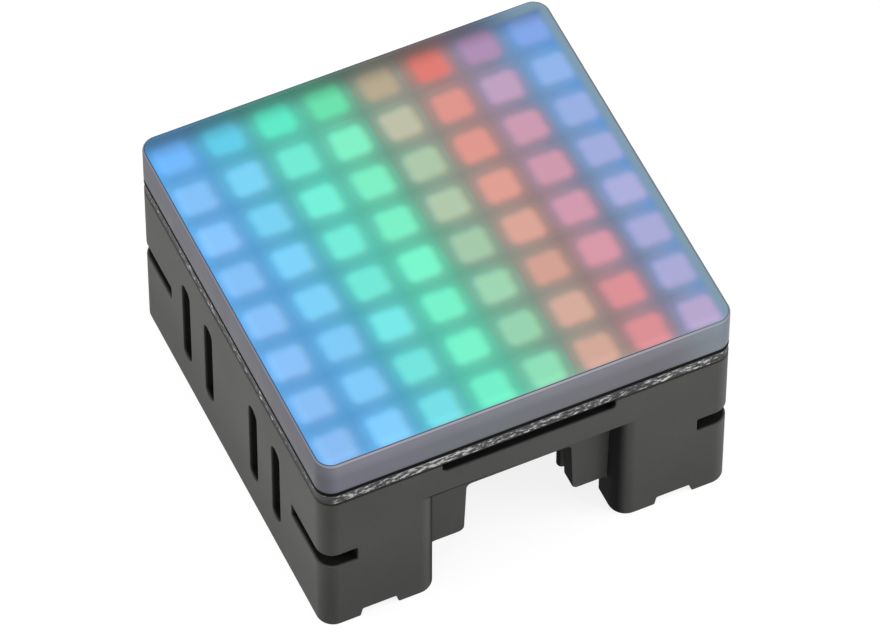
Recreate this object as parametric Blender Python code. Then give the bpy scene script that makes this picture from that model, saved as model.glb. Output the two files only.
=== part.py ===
"""RGB display module: an 8 by 8 matrix of LEDs under a smoked diffuser, on a moulded base.

The base stands on its walls and is open underneath. Two of its walls are jogged inwards
round a cable cut-out, the other two have four vertical slots each, and a channel wraps
every outer corner so that modules can be clipped side by side. The LED board closes the
top of the base. On it stands a white grid that keeps the LEDs' light apart, under a
diffuser cover shaped as a tray upside down. Four screws come up through corner posts into
spacers under the board, and the cables plug in from below, into two sockets that face down.

Frame: Z is up, the walls stand on Z = 0, and the origin is the centre of the footprint.
The front cable cut-out faces -Y. Everything is in metres.
"""

from math import cos, pi, radians, sin

import bmesh
import bpy
from mathutils import Vector

# Footprint and outer corners
SIDE = 0.0400
CORNER_RADIUS = 0.0016

# Stack of layers, from the floor up
BASE_HEIGHT = 0.0181
EDGE_GAP = 0.0003
BOARD_THICKNESS = 0.0012
GASKET_THICKNESS = 0.0003
COVER_HEIGHT = 0.0040
SEAT_GAP = 0.00005

# Diffuser cover, and the light grid inside it with one cell for each LED
COVER_EDGE_RADIUS = 0.00035
COVER_CEILING = 0.00135
COVER_SKIRT = 0.0008
GRID_CLEARANCE = 0.0001
GRID_CELL = 0.0032
GASKET_WIDTH = 0.0007

# LED packages on the board, as many each way as the side has room for
LED_PITCH = 0.0050
LED_SIZE = 0.0028
LED_HEIGHT = 0.0012
LED_CHAMFER = 0.0005
LED_CUP_RADIUS = 0.0011
LED_CUP_DEPTH = 0.0004

# Walls of the base
WALL = 0.0018
INNER_RADIUS = 0.0005

# Jogged wall round each cable cut-out, front and back: legs, and a bridge over the recess
LEG_WIDTH = 0.0112
LEG_EDGE_RADIUS = 0.0017
BRIDGE_HEIGHT = 0.0039
RECESS_DEPTH = 0.0020
PANEL_THICKNESS = 0.0018
PANEL_BOTTOM = 0.0041
PANEL_WIDTH = 0.0035
PANEL_DRAFT = 0.0002
PANEL_FILLET = 0.0006
CUTOUT_DROP = 0.0034
CUTOUT_FILLET = 0.0005
GUIDE_SLOT = 0.00075
GUIDE_RIB = 0.0010
GUIDE_RIB_LENGTH = 0.0036

# Notches in the top and bottom edges of the front and back walls, from the side walls
TOP_NOTCH_INSET = 0.0116
TOP_NOTCH_DEPTH = 0.00105
TOP_NOTCH_FILLET = 0.0005
FOOT_NOTCH_INSET = 0.00365
FOOT_NOTCH_WIDTH = 0.0037
FOOT_NOTCH_HEIGHT = 0.00095
FOOT_NOTCH_SLOPE = 0.0002

# Clip channel round each outer corner
CHANNEL_BOTTOM = 0.00885
CHANNEL_HEIGHT = 0.00175
CHANNEL_DEPTH = 0.0013
CHANNEL_FRONT_LENGTH = 0.0034
CHANNEL_SIDE_LENGTH = 0.0068

# Vertical slots in the left and right walls
SLOT_WIDTH = 0.0017
SLOT_BOTTOM = 0.0040
SLOT_TOP_MARGIN = 0.0036
SLOT_INNER_OFFSET = 0.0049
SLOT_OUTER_OFFSET = 0.0098

# Corner posts, screws and spacers
POST_INSET = 0.0032
POST_RADIUS = 0.0028
POST_HEIGHT = 0.0065
POST_HOLE_RADIUS = 0.0012
SPACER_HEIGHT = 0.0038
SPACER_RADIUS = 0.0020
SPACER_BORE_RADIUS = 0.0011
SPACER_CHAMFER = 0.0002
SCREW_RADIUS = 0.00095
SCREW_ENGAGEMENT = 0.0024
SCREW_TIP_CHAMFER = 0.0003
SCREW_HEAD_RADIUS = 0.0019
SCREW_HEAD_HEIGHT = 0.0015
SCREW_HEAD_DOME = 0.0005
DRIVE_SPAN = 0.0020
DRIVE_WIDTH = 0.0005
DRIVE_DEPTH = 0.0008

# Sockets under the board, with their contact pins
SOCKET_OFFSET = 0.0085
SOCKET_LENGTH = 0.0100
SOCKET_WIDTH = 0.0048
SOCKET_HEIGHT = 0.0055
SOCKET_WALL = 0.0007
SOCKET_FLOOR = 0.0010
SOCKET_EDGE_RADIUS = 0.0003
SOCKET_KEY_WIDTH = 0.0012
SOCKET_KEY_DEPTH = 0.0030
SOCKET_KEY_SPACING = 0.0056
PIN_COUNT = 4
PIN_PITCH = 0.0020
PIN_SIZE = 0.0005
PIN_CLEARANCE = 0.0001
PIN_LENGTH = 0.0044
PIN_TIP = 0.0005

# Bulk capacitors under the board
CAPACITOR_OFFSET = 0.0090
CAPACITOR_RADIUS = 0.0025
CAPACITOR_HEIGHT = 0.0054
CAPACITOR_SEAT_SIZE = 0.0053
CAPACITOR_SEAT_HEIGHT = 0.0010
CAPACITOR_SEAT_CHAMFER = 0.0010
CAPACITOR_GROOVE_DEPTH = 0.0003
CAPACITOR_GROOVE_HEIGHT = 0.0006

# Fineness of round forms, and how far a cutter reaches past what it cuts
CORNER_STEPS = 8
FILLET_STEPS = 5
ROUND_STEPS = 24
CUP_STEPS = 12
OVERRUN = 0.0010
WELD = 0.000001

# Places that follow from the sizes above
HALF = SIDE / 2
INNER_HALF = HALF - WALL
LED_COUNT = int(SIDE / LED_PITCH + 0.01)
BOARD_BOTTOM = BASE_HEIGHT + EDGE_GAP
BOARD_TOP = BOARD_BOTTOM + BOARD_THICKNESS
GASKET_BOTTOM = BOARD_TOP + SEAT_GAP
GASKET_TOP = GASKET_BOTTOM + GASKET_THICKNESS
COVER_BOTTOM = GASKET_TOP + SEAT_GAP
COVER_TOP = COVER_BOTTOM + COVER_HEIGHT
CAVITY_HALF = HALF - COVER_SKIRT
CAVITY_TOP = COVER_TOP - COVER_CEILING
GRID_HALF = CAVITY_HALF - GRID_CLEARANCE
GRID_BOTTOM = BOARD_TOP + SEAT_GAP
GRID_TOP = CAVITY_TOP - SEAT_GAP
HANG_TOP = BOARD_BOTTOM - SEAT_GAP
POST_TOP = HANG_TOP - SPACER_HEIGHT - SEAT_GAP
POST_BOTTOM = POST_TOP - POST_HEIGHT
POST_OFFSET = INNER_HALF - POST_INSET
SCREW_SEAT = POST_BOTTOM - SEAT_GAP
SCREW_LENGTH = POST_TOP + SCREW_ENGAGEMENT - SCREW_SEAT
RECESS_HALF_WIDTH = HALF - LEG_WIDTH
RECESS_HEIGHT = BASE_HEIGHT - BRIDGE_HEIGHT
CUTOUT_HEIGHT = RECESS_HEIGHT - CUTOUT_DROP
CUTOUT_HALF_BOTTOM = RECESS_HALF_WIDTH - PANEL_WIDTH
CUTOUT_HALF_TOP = CUTOUT_HALF_BOTTOM - PANEL_DRAFT
GUIDE_RIB_HALF_GAP = RECESS_HALF_WIDTH - GUIDE_RIB_LENGTH
TOP_NOTCH_HALF_WIDTH = HALF - TOP_NOTCH_INSET
FOOT_NOTCH_END = HALF - FOOT_NOTCH_INSET
FOOT_NOTCH_START = FOOT_NOTCH_END - FOOT_NOTCH_WIDTH
SLOT_TOP = BASE_HEIGHT - SLOT_TOP_MARGIN
PANEL_FRONT = HALF - RECESS_DEPTH
PANEL_BACK = PANEL_FRONT - PANEL_THICKNESS
RIB_FRONT = PANEL_BACK - GUIDE_SLOT
RIB_BACK = RIB_FRONT - GUIDE_RIB
RETURN_HALF = RECESS_HALF_WIDTH + WALL
SOFFIT_TOP = RECESS_HEIGHT + WALL
SIGNS = (1, -1)


def clear_scene():
    """Remove whatever the scene holds."""
    for thing in list(bpy.data.objects):
        bpy.data.objects.remove(thing, do_unlink=True)


def material(name, colour, roughness, metallic=0.0):
    """A Principled material with a plain colour."""
    made = bpy.data.materials.new(name)
    made.use_nodes = True
    shader = made.node_tree.nodes["Principled BSDF"]
    shader.inputs["Base Color"].default_value = (*colour, 1.0)
    shader.inputs["Roughness"].default_value = roughness
    shader.inputs["Metallic"].default_value = metallic
    made.diffuse_color = (*colour, 1.0)
    return made


def arc(centre, radius, start, end, steps=CORNER_STEPS):
    """Points on an arc, from one angle to another, in degrees."""
    angles = [radians(start + (end - start) * step / steps) for step in range(steps + 1)]
    return [(centre[0] + radius * cos(a), centre[1] + radius * sin(a)) for a in angles]


def rounded_rectangle(half_x, half_y, radius, steps=CORNER_STEPS):
    """Outline of a rectangle with round corners, counter-clockwise."""
    x, y = half_x - radius, half_y - radius
    return (
        arc((x, y), radius, 0, 90, steps)
        + arc((-x, y), radius, 90, 180, steps)
        + arc((-x, -y), radius, 180, 270, steps)
        + arc((x, -y), radius, 270, 360, steps)
    )


def rectangle(half_x, half_y):
    """Outline of a rectangle, counter-clockwise."""
    return [(half_x, half_y), (-half_x, half_y), (-half_x, -half_y), (half_x, -half_y)]


def chamfered_square(half, chamfer, corners=4):
    """Outline of a square with its first few corners cut off."""
    points = []
    for index, (sx, sy) in enumerate(((1, 1), (-1, 1), (-1, -1), (1, -1))):
        cut = chamfer if index < corners else 0
        before = (sx * half, sy * (half - cut))
        after = (sx * (half - cut), sy * half)
        pair = [before, after] if sx * sy > 0 else [after, before]
        points += pair if cut else pair[:1]
    return points


def circle(radius, steps=ROUND_STEPS):
    """Outline of a circle."""
    return [(radius * cos(2 * pi * i / steps), radius * sin(2 * pi * i / steps)) for i in range(steps)]


def mirrored(half_outline):
    """Close a right-hand outline, listed from the bottom up, with its left-hand image."""
    return half_outline + [(-u, v) for u, v in reversed(half_outline)]


def flipped(outline, sign):
    """The outline with its second coordinate turned to the given side."""
    return [(u, sign * v) for u, v in outline]


def moved(outline, du, dv):
    """The outline shifted in its own plane."""
    return [(u + du, v + dv) for u, v in outline]


def place(u, v, w, axis):
    """A point of an outline, w along the axis that the outline is extruded on."""
    return {"X": (w, u, v), "Y": (u, w, v), "Z": (u, v, w)}[axis]


def add_prism(mesh, outline, low, high, axis="Z"):
    """Extrude a closed outline between two heights on an axis, and return the top face."""
    base = [mesh.verts.new(place(u, v, low, axis)) for u, v in outline]
    face = mesh.faces.new(base)
    lift = Vector(place(0, 0, high - low, axis))
    grown = bmesh.ops.extrude_face_region(mesh, geom=[face], use_keep_orig=True)
    verts = [g for g in grown["geom"] if isinstance(g, bmesh.types.BMVert)]
    bmesh.ops.translate(mesh, verts=verts, vec=lift)
    return next(g for g in grown["geom"] if isinstance(g, bmesh.types.BMFace))


def add_turned(mesh, profile, steps=ROUND_STEPS):
    """Spin a profile of radius and height points, which starts and ends on the axis, round Z."""
    verts = [mesh.verts.new((radius, 0, height)) for radius, height in profile]
    edges = [mesh.edges.new(pair) for pair in zip(verts, verts[1:])]
    bmesh.ops.spin(
        mesh, geom=verts + edges, cent=(0, 0, 0), axis=(0, 0, 1), angle=2 * pi, steps=steps, use_merge=True
    )
    bmesh.ops.remove_doubles(mesh, verts=mesh.verts, dist=WELD)


def add_ring(mesh, outer, inner, low, high, chamfer, steps=ROUND_STEPS):
    """A tube with chamfered outer rims, round Z."""
    corners = [
        (inner, low), (outer - chamfer, low), (outer, low + chamfer),
        (outer, high - chamfer), (outer - chamfer, high), (inner, high),
    ]
    verts = [mesh.verts.new((radius, 0, height)) for radius, height in corners]
    edges = [mesh.edges.new(pair) for pair in zip(verts, verts[1:] + verts[:1])]
    bmesh.ops.spin(
        mesh, geom=verts + edges, cent=(0, 0, 0), axis=(0, 0, 1), angle=2 * pi, steps=steps, use_merge=True
    )
    bmesh.ops.remove_doubles(mesh, verts=mesh.verts, dist=WELD)


def finish(name, mesh, look=None, location=(0, 0, 0)):
    """Turn a bmesh into an object, with its faces pointing out and its round faces smooth."""
    bmesh.ops.recalc_face_normals(mesh, faces=mesh.faces)
    data = bpy.data.meshes.new(name)
    mesh.to_mesh(data)
    mesh.free()
    data.shade_smooth()
    data.set_sharp_from_angle(angle=radians(30))
    made = bpy.data.objects.new(name, data)
    made.location = location
    if look:
        data.materials.append(look)
    bpy.context.collection.objects.link(made)
    return made


def combine(target, other, operation):
    """Join or cut an object with another one, which stays as a hidden guide."""
    other.hide_render = True
    other.display_type = "WIRE"
    step = target.modifiers.new(other.name, "BOOLEAN")
    step.operation = operation
    step.object = other
    step.solver = "EXACT"


def cut(target, name, mesh, location=(0, 0, 0)):
    """Cut an object with the shapes in a bmesh."""
    combine(target, finish(name, mesh, location=location), "DIFFERENCE")


def led_places():
    """Centres of the LEDs, row by row."""
    first = -(LED_COUNT - 1) / 2 * LED_PITCH
    steps = [first + index * LED_PITCH for index in range(LED_COUNT)]
    return [(x, y) for y in steps for x in steps]


def corner_places():
    """Centres of the four corner posts, from the front left one, counter-clockwise."""
    return [(x * POST_OFFSET, y * POST_OFFSET) for x, y in ((-1, -1), (1, -1), (1, 1), (-1, 1))]


def make_cover(look):
    """Smoked diffuser: a shallow tray, upside down, with a soft top edge."""
    mesh = bmesh.new()
    top = add_prism(mesh, rounded_rectangle(HALF, HALF, CORNER_RADIUS), COVER_BOTTOM, COVER_TOP)
    bmesh.ops.bevel(
        mesh, geom=list(top.edges), offset=COVER_EDGE_RADIUS, segments=3, profile=0.5, affect="EDGES"
    )
    cover = finish("diffuser_cover", mesh, look)
    cavity = bmesh.new()
    radius = max(CORNER_RADIUS - COVER_SKIRT, WELD)
    add_prism(
        cavity, rounded_rectangle(CAVITY_HALF, CAVITY_HALF, radius), COVER_BOTTOM - OVERRUN, CAVITY_TOP
    )
    cut(cover, "cover_cavity", cavity)


def cell_span(centre):
    """Reach of a grid cell along one axis. The outermost cells are open, past the grid's edge."""
    past = GRID_HALF + OVERRUN
    low = centre - GRID_CELL / 2 if centre - LED_PITCH > -HALF else -past
    high = centre + GRID_CELL / 2 if centre + LED_PITCH < HALF else past
    return low, high


def make_light_grid(look):
    """White grid between the LEDs, which stands on the board and ends just under the cover's ceiling."""
    mesh = bmesh.new()
    add_prism(mesh, rectangle(GRID_HALF, GRID_HALF), GRID_BOTTOM, GRID_TOP)
    grid = finish("light_grid", mesh, look)
    cells = bmesh.new()
    for x, y in led_places():
        left, right = cell_span(x)
        near, far = cell_span(y)
        cell = [(right, far), (left, far), (left, near), (right, near)]
        add_prism(cells, cell, GRID_BOTTOM - OVERRUN, GRID_TOP + OVERRUN)
    cut(grid, "grid_cells", cells)


def make_gasket(look):
    """Black adhesive frame between the board and the cover, set in a little from the edge."""
    outer = HALF - SEAT_GAP
    mesh = bmesh.new()
    add_prism(mesh, rounded_rectangle(outer, outer, CORNER_RADIUS), GASKET_BOTTOM, GASKET_TOP)
    gasket = finish("gasket_frame", mesh, look)
    inner = outer - GASKET_WIDTH
    window = bmesh.new()
    radius = max(CORNER_RADIUS - GASKET_WIDTH, WELD)
    add_prism(
        window, rounded_rectangle(inner, inner, radius), GASKET_BOTTOM - OVERRUN, GASKET_TOP + OVERRUN
    )
    cut(gasket, "gasket_window", window)


def make_board(look):
    """LED board: a plate with a package at each pitch point, each with a round cup."""
    mesh = bmesh.new()
    add_prism(mesh, rounded_rectangle(HALF, HALF, CORNER_RADIUS), BOARD_BOTTOM, BOARD_TOP)
    board = finish("led_board", mesh, look)
    packages = bmesh.new()
    cups = bmesh.new()
    package = chamfered_square(LED_SIZE / 2, LED_CHAMFER, corners=1)
    led_top = BOARD_TOP + LED_HEIGHT
    for x, y in led_places():
        add_prism(packages, moved(package, x, y), BOARD_TOP - BOARD_THICKNESS / 2, led_top)
        cup = moved(circle(LED_CUP_RADIUS, CUP_STEPS), x, y)
        add_prism(cups, cup, led_top - LED_CUP_DEPTH, led_top + OVERRUN)
    combine(board, finish("led_packages", packages), "UNION")
    cut(board, "led_cups", cups)


def cavity_outline():
    """Inside of the base in plan: the inner square, less the jogged walls."""
    middle = INNER_HALF - INNER_RADIUS
    quarter = arc((middle, middle), INNER_RADIUS, 0, 90)
    quarter += [(RETURN_HALF, INNER_HALF), (RETURN_HALF, RIB_BACK)]
    back = quarter + [(-x, y) for x, y in reversed(quarter)]
    return back + [(-x, -y) for x, y in back]


def hollow_base(base):
    """Open the inside of the base: up to the soffits of the recesses, and above them."""
    lower = bmesh.new()
    add_prism(lower, cavity_outline(), -OVERRUN, SOFFIT_TOP + WALL / 4)
    cut(base, "cavity", lower)
    upper = bmesh.new()
    full = rounded_rectangle(INNER_HALF, INNER_HALF, INNER_RADIUS)
    add_prism(upper, full, SOFFIT_TOP, BASE_HEIGHT + OVERRUN)
    cut(base, "cavity_under_board", upper)


def add_posts(base):
    """Stand a round-nosed post in each corner, let halfway into the walls."""
    rooted = INNER_HALF + WALL / 2
    outline = [(rooted, rooted)]
    outline += [(POST_OFFSET - POST_RADIUS, rooted)]
    outline += arc((POST_OFFSET, POST_OFFSET), POST_RADIUS, 180, 270)
    outline += [(rooted, POST_OFFSET - POST_RADIUS)]
    mesh = bmesh.new()
    for sx in SIGNS:
        for sy in SIGNS:
            add_prism(mesh, [(sx * x, sy * y) for x, y in outline], POST_BOTTOM, POST_TOP)
    combine(base, finish("corner_posts", mesh), "UNION")


def cut_recesses(base):
    """Recess the front and back walls round the cable cut-outs, between soft-edged legs."""
    flare = RECESS_HALF_WIDTH + LEG_EDGE_RADIUS
    side = [(RECESS_HALF_WIDTH, -PANEL_FRONT)]
    side += arc((flare, LEG_EDGE_RADIUS - HALF), LEG_EDGE_RADIUS, 180, 270)
    side += [(flare, -HALF - OVERRUN)]
    mesh = bmesh.new()
    for sign in SIGNS:
        add_prism(mesh, flipped(mirrored(side), sign), -OVERRUN, RECESS_HEIGHT)
    cut(base, "cable_recesses", mesh)


def cut_panels(base):
    """Shape the set-back panels: short lower edges, and a cut-out that widens downwards."""
    foot = PANEL_BOTTOM - PANEL_FILLET
    lip = PANEL_BOTTOM + PANEL_FILLET
    side = [(RECESS_HALF_WIDTH, -OVERRUN)]
    side += arc((RECESS_HALF_WIDTH - PANEL_FILLET, foot), PANEL_FILLET, 0, 90, FILLET_STEPS)
    side += arc((CUTOUT_HALF_BOTTOM + PANEL_FILLET, lip), PANEL_FILLET, 270, 180, FILLET_STEPS)
    top_corner = (CUTOUT_HALF_TOP - CUTOUT_FILLET, CUTOUT_HEIGHT - CUTOUT_FILLET)
    side += arc(top_corner, CUTOUT_FILLET, 0, 90, FILLET_STEPS)
    mesh = bmesh.new()
    for sign in SIGNS:
        near, far = sorted((sign * (PANEL_BACK - GUIDE_SLOT / 2), sign * (PANEL_FRONT + RECESS_DEPTH / 2)))
        add_prism(mesh, mirrored(side), near, far, "Y")
    cut(base, "cable_cutouts", mesh)


def cut_guides(base):
    """Part the guide ribs from the panels, round the ribs' ends and shorten them from below."""
    rib_middle = RIB_FRONT - GUIDE_RIB / 2
    end = GUIDE_RIB_HALF_GAP + GUIDE_RIB / 2
    gap = [(end, RIB_BACK - OVERRUN), (end, RIB_BACK)]
    gap += arc((end, rib_middle), GUIDE_RIB / 2, 270, 90)[1:]
    gap += [(RECESS_HALF_WIDTH, RIB_FRONT), (RECESS_HALF_WIDTH, PANEL_BACK)]
    guides = bmesh.new()
    feet = bmesh.new()
    foot = rectangle(RETURN_HALF + OVERRUN, (PANEL_BACK - RIB_BACK + OVERRUN) / 2)
    for sign in SIGNS:
        add_prism(guides, flipped(mirrored(gap), sign), -OVERRUN, RECESS_HEIGHT)
        middle = sign * (PANEL_BACK + RIB_BACK - OVERRUN) / 2
        add_prism(feet, moved(foot, 0, middle), -OVERRUN, PANEL_BOTTOM)
    cut(base, "guide_slots", guides)
    cut(base, "guide_feet", feet)


def cut_edge_notches(base):
    """Notch the top edge over each cut-out, and the bottom edge of each leg."""
    floor = BASE_HEIGHT - TOP_NOTCH_DEPTH
    corner = (TOP_NOTCH_HALF_WIDTH - TOP_NOTCH_FILLET, floor + TOP_NOTCH_FILLET)
    top = arc(corner, TOP_NOTCH_FILLET, 270, 360, FILLET_STEPS)
    top += [(TOP_NOTCH_HALF_WIDTH, BASE_HEIGHT + OVERRUN)]
    foot = [
        (FOOT_NOTCH_START, -OVERRUN),
        (FOOT_NOTCH_END, -OVERRUN),
        (FOOT_NOTCH_END, 0),
        (FOOT_NOTCH_END - FOOT_NOTCH_SLOPE, FOOT_NOTCH_HEIGHT),
        (FOOT_NOTCH_START + FOOT_NOTCH_SLOPE, FOOT_NOTCH_HEIGHT),
        (FOOT_NOTCH_START, 0),
    ]
    tops = bmesh.new()
    feet = bmesh.new()
    for sign in SIGNS:
        near, far = sorted((sign * (INNER_HALF - WALL / 4), sign * (HALF + OVERRUN)))
        add_prism(tops, mirrored(top), near, far, "Y")
        for turn in SIGNS:
            add_prism(feet, [(turn * x, z) for x, z in foot], near, far, "Y")
    cut(base, "top_notches", tops)
    cut(base, "foot_notches", feet)


def cut_channels(base):
    """Wrap a clip channel round each outer corner."""
    bed = HALF - CHANNEL_DEPTH
    past = HALF + OVERRUN
    front_end = HALF - CHANNEL_FRONT_LENGTH
    side_end = HALF - CHANNEL_SIDE_LENGTH
    outline = [
        (past, side_end), (past, past), (front_end, past), (front_end, bed), (bed, bed), (bed, side_end),
    ]
    mesh = bmesh.new()
    for sx in SIGNS:
        for sy in SIGNS:
            turned = [(sx * x, sy * y) for x, y in outline]
            add_prism(mesh, turned, CHANNEL_BOTTOM, CHANNEL_BOTTOM + CHANNEL_HEIGHT)
    cut(base, "clip_channels", mesh)


def cut_side_slots(base):
    """Four slots with round ends through each side wall."""
    radius = SLOT_WIDTH / 2
    low = SLOT_BOTTOM + radius
    high = SLOT_TOP - radius
    outline = arc((0, high), radius, 0, 180) + arc((0, low), radius, 180, 360)
    mesh = bmesh.new()
    for offset in (-SLOT_OUTER_OFFSET, -SLOT_INNER_OFFSET, SLOT_INNER_OFFSET, SLOT_OUTER_OFFSET):
        for sign in SIGNS:
            near, far = sorted((sign * (INNER_HALF - WALL / 2), sign * (HALF + OVERRUN)))
            add_prism(mesh, moved(outline, offset, 0), near, far, "X")
    cut(base, "side_slots", mesh)


def cut_screw_holes(base):
    """A clearance hole up through each corner post."""
    mesh = bmesh.new()
    for x, y in corner_places():
        add_prism(mesh, moved(circle(POST_HOLE_RADIUS), x, y), POST_BOTTOM - OVERRUN, POST_TOP + OVERRUN)
    cut(base, "screw_holes", mesh)


def make_base(look):
    """Moulded base, cut from its outer block in the order of a mould's cores."""
    mesh = bmesh.new()
    add_prism(mesh, rounded_rectangle(HALF, HALF, CORNER_RADIUS), 0, BASE_HEIGHT)
    base = finish("base_housing", mesh, look)
    hollow_base(base)
    add_posts(base)
    cut_recesses(base)
    cut_panels(base)
    cut_guides(base)
    cut_edge_notches(base)
    cut_channels(base)
    cut_side_slots(base)
    cut_screw_holes(base)


def make_spacers(look):
    """Threaded spacers, which hang from the board and stand on the corner posts."""
    for number, (x, y) in enumerate(corner_places(), 1):
        mesh = bmesh.new()
        add_ring(mesh, SPACER_RADIUS, SPACER_BORE_RADIUS, -SPACER_HEIGHT, 0, SPACER_CHAMFER)
        finish(f"board_spacer_{number}", mesh, look, (x, y, HANG_TOP))


def make_screws(look):
    """Pan-head screws with a cross drive, heads down under the corner posts."""
    dome = arc(
        (SCREW_HEAD_RADIUS - SCREW_HEAD_DOME, SCREW_HEAD_DOME - SCREW_HEAD_HEIGHT),
        SCREW_HEAD_DOME, 270, 360, FILLET_STEPS,
    )
    profile = [(0, -SCREW_HEAD_HEIGHT)] + dome + [
        (SCREW_HEAD_RADIUS, 0),
        (SCREW_RADIUS, 0),
        (SCREW_RADIUS, SCREW_LENGTH - SCREW_TIP_CHAMFER),
        (SCREW_RADIUS - SCREW_TIP_CHAMFER, SCREW_LENGTH),
        (0, SCREW_LENGTH),
    ]
    span, width = DRIVE_SPAN / 2, DRIVE_WIDTH / 2
    quarter = [(span, -width), (span, width), (width, width)]
    cross = [
        (x * cos(turn) - y * sin(turn), x * sin(turn) + y * cos(turn))
        for turn in (0, pi / 2, pi, 3 * pi / 2)
        for x, y in quarter
    ]
    for number, (x, y) in enumerate(corner_places(), 1):
        mesh = bmesh.new()
        add_turned(mesh, profile)
        screw = finish(f"board_screw_{number}", mesh, look, (x, y, SCREW_SEAT))
        drive = bmesh.new()
        add_prism(drive, cross, -SCREW_HEAD_HEIGHT - OVERRUN, DRIVE_DEPTH - SCREW_HEAD_HEIGHT)
        cut(screw, f"drive_{number}", drive, (x, y, SCREW_SEAT))


def make_socket(name, pin_name, y, look, pin_look):
    """A shrouded four-pin socket that faces down, with two key slots and its contact pins."""
    half_length, half_width = SOCKET_LENGTH / 2, SOCKET_WIDTH / 2
    mesh = bmesh.new()
    add_prism(mesh, rounded_rectangle(half_length, half_width, SOCKET_EDGE_RADIUS), -SOCKET_HEIGHT, 0)
    socket = finish(name, mesh, look, (0, y, HANG_TOP))
    mouth = bmesh.new()
    add_prism(
        mouth,
        rectangle(half_length - SOCKET_WALL, half_width - SOCKET_WALL),
        -SOCKET_HEIGHT - OVERRUN,
        -SOCKET_FLOOR,
    )
    cut(socket, f"{name}_mouth", mouth, socket.location)
    keys = bmesh.new()
    key = rectangle(SOCKET_KEY_WIDTH / 2, SOCKET_WALL)
    for sign in SIGNS:
        place_on_wall = moved(key, sign * SOCKET_KEY_SPACING / 2, -half_width)
        add_prism(keys, place_on_wall, -SOCKET_HEIGHT - OVERRUN, SOCKET_KEY_DEPTH - SOCKET_HEIGHT)
    cut(socket, f"{name}_keys", keys, socket.location)
    holes = bmesh.new()
    hole = rectangle(PIN_SIZE / 2 + PIN_CLEARANCE, PIN_SIZE / 2 + PIN_CLEARANCE)
    for number in range(PIN_COUNT):
        x = (number - (PIN_COUNT - 1) / 2) * PIN_PITCH
        add_prism(holes, moved(hole, x, 0), -SOCKET_FLOOR - OVERRUN, OVERRUN)
        make_pin(f"{pin_name}_{number + 1}", (x, y, HANG_TOP), pin_look)
    cut(socket, f"{name}_pin_holes", holes, socket.location)


def make_pin(name, location, look):
    """A square contact pin with a tapered tip."""
    mesh = bmesh.new()
    square = rectangle(PIN_SIZE / 2, PIN_SIZE / 2)
    shoulder = add_prism(mesh, square, 0, PIN_TIP - PIN_LENGTH)
    grown = bmesh.ops.extrude_discrete_faces(mesh, faces=[shoulder])["faces"][0]
    bmesh.ops.translate(mesh, verts=grown.verts, vec=(0, 0, -PIN_TIP))
    middle = grown.calc_center_median()
    for vert in grown.verts:
        vert.co.xy = middle.xy + (vert.co.xy - middle.xy) / 2
    finish(name, mesh, look, location)


def make_capacitors(look):
    """Round can capacitors on square seats, hanging under the board."""
    groove_low = CAPACITOR_SEAT_HEIGHT + CAPACITOR_GROOVE_HEIGHT
    groove_high = groove_low + CAPACITOR_GROOVE_HEIGHT
    waist = CAPACITOR_RADIUS - CAPACITOR_GROOVE_DEPTH
    profile = [
        (0, -CAPACITOR_HEIGHT),
        (waist, -CAPACITOR_HEIGHT),
        (CAPACITOR_RADIUS, CAPACITOR_GROOVE_DEPTH - CAPACITOR_HEIGHT),
        (CAPACITOR_RADIUS, -groove_high),
        (waist, -(groove_low + groove_high) / 2),
        (CAPACITOR_RADIUS, -groove_low),
        (CAPACITOR_RADIUS, -CAPACITOR_SEAT_HEIGHT / 2),
        (0, -CAPACITOR_SEAT_HEIGHT / 2),
    ]
    for number, sign in enumerate(SIGNS, 1):
        mesh = bmesh.new()
        add_turned(mesh, profile)
        spot = (sign * CAPACITOR_OFFSET, 0, HANG_TOP)
        can = finish(f"bulk_capacitor_{number}", mesh, look, spot)
        seat = bmesh.new()
        outline = chamfered_square(CAPACITOR_SEAT_SIZE / 2, CAPACITOR_SEAT_CHAMFER, corners=2)
        add_prism(seat, outline, -CAPACITOR_SEAT_HEIGHT, 0)
        combine(can, finish(f"capacitor_seat_{number}", seat, location=spot), "UNION")


def main():
    """Build every piece of the module."""
    clear_scene()
    base_plastic = material("moulded_base_plastic", (0.080, 0.078, 0.070), 0.60)
    smoked_plastic = material("smoked_diffuser_plastic", (0.18, 0.18, 0.22), 0.25)
    white_plastic = material("white_grid_plastic", (0.80, 0.80, 0.79), 0.50)
    black_laminate = material("black_board_laminate", (0.012, 0.012, 0.013), 0.55)
    black_foam = material("black_adhesive_foam", (0.005, 0.005, 0.005), 0.90)
    plated_steel = material("plated_steel", (0.55, 0.56, 0.58), 0.35, 1.0)
    tinned_brass = material("tinned_brass", (0.72, 0.66, 0.48), 0.35, 1.0)
    socket_plastic = material("cream_socket_plastic", (0.78, 0.74, 0.64), 0.50)
    can_aluminium = material("capacitor_can_aluminium", (0.62, 0.63, 0.65), 0.40, 1.0)
    make_base(base_plastic)
    make_board(black_laminate)
    make_gasket(black_foam)
    make_cover(smoked_plastic)
    make_light_grid(white_plastic)
    make_spacers(tinned_brass)
    make_screws(plated_steel)
    make_socket("signal_in_socket", "in_pin", -SOCKET_OFFSET, socket_plastic, tinned_brass)
    make_socket("signal_out_socket", "out_pin", SOCKET_OFFSET, socket_plastic, tinned_brass)
    make_capacitors(can_aluminium)


main()
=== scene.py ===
"""RGB display module, dressed: a lit matrix of colour LEDs under a diffuser, on a moulded base.

The packed solids are loaded as a fixed frame. Each operator then models one group of pieces round
them, in the same place and size, and gives them their finish. The stage operator adds a pale floor,
soft light and the camera.
"""

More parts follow.
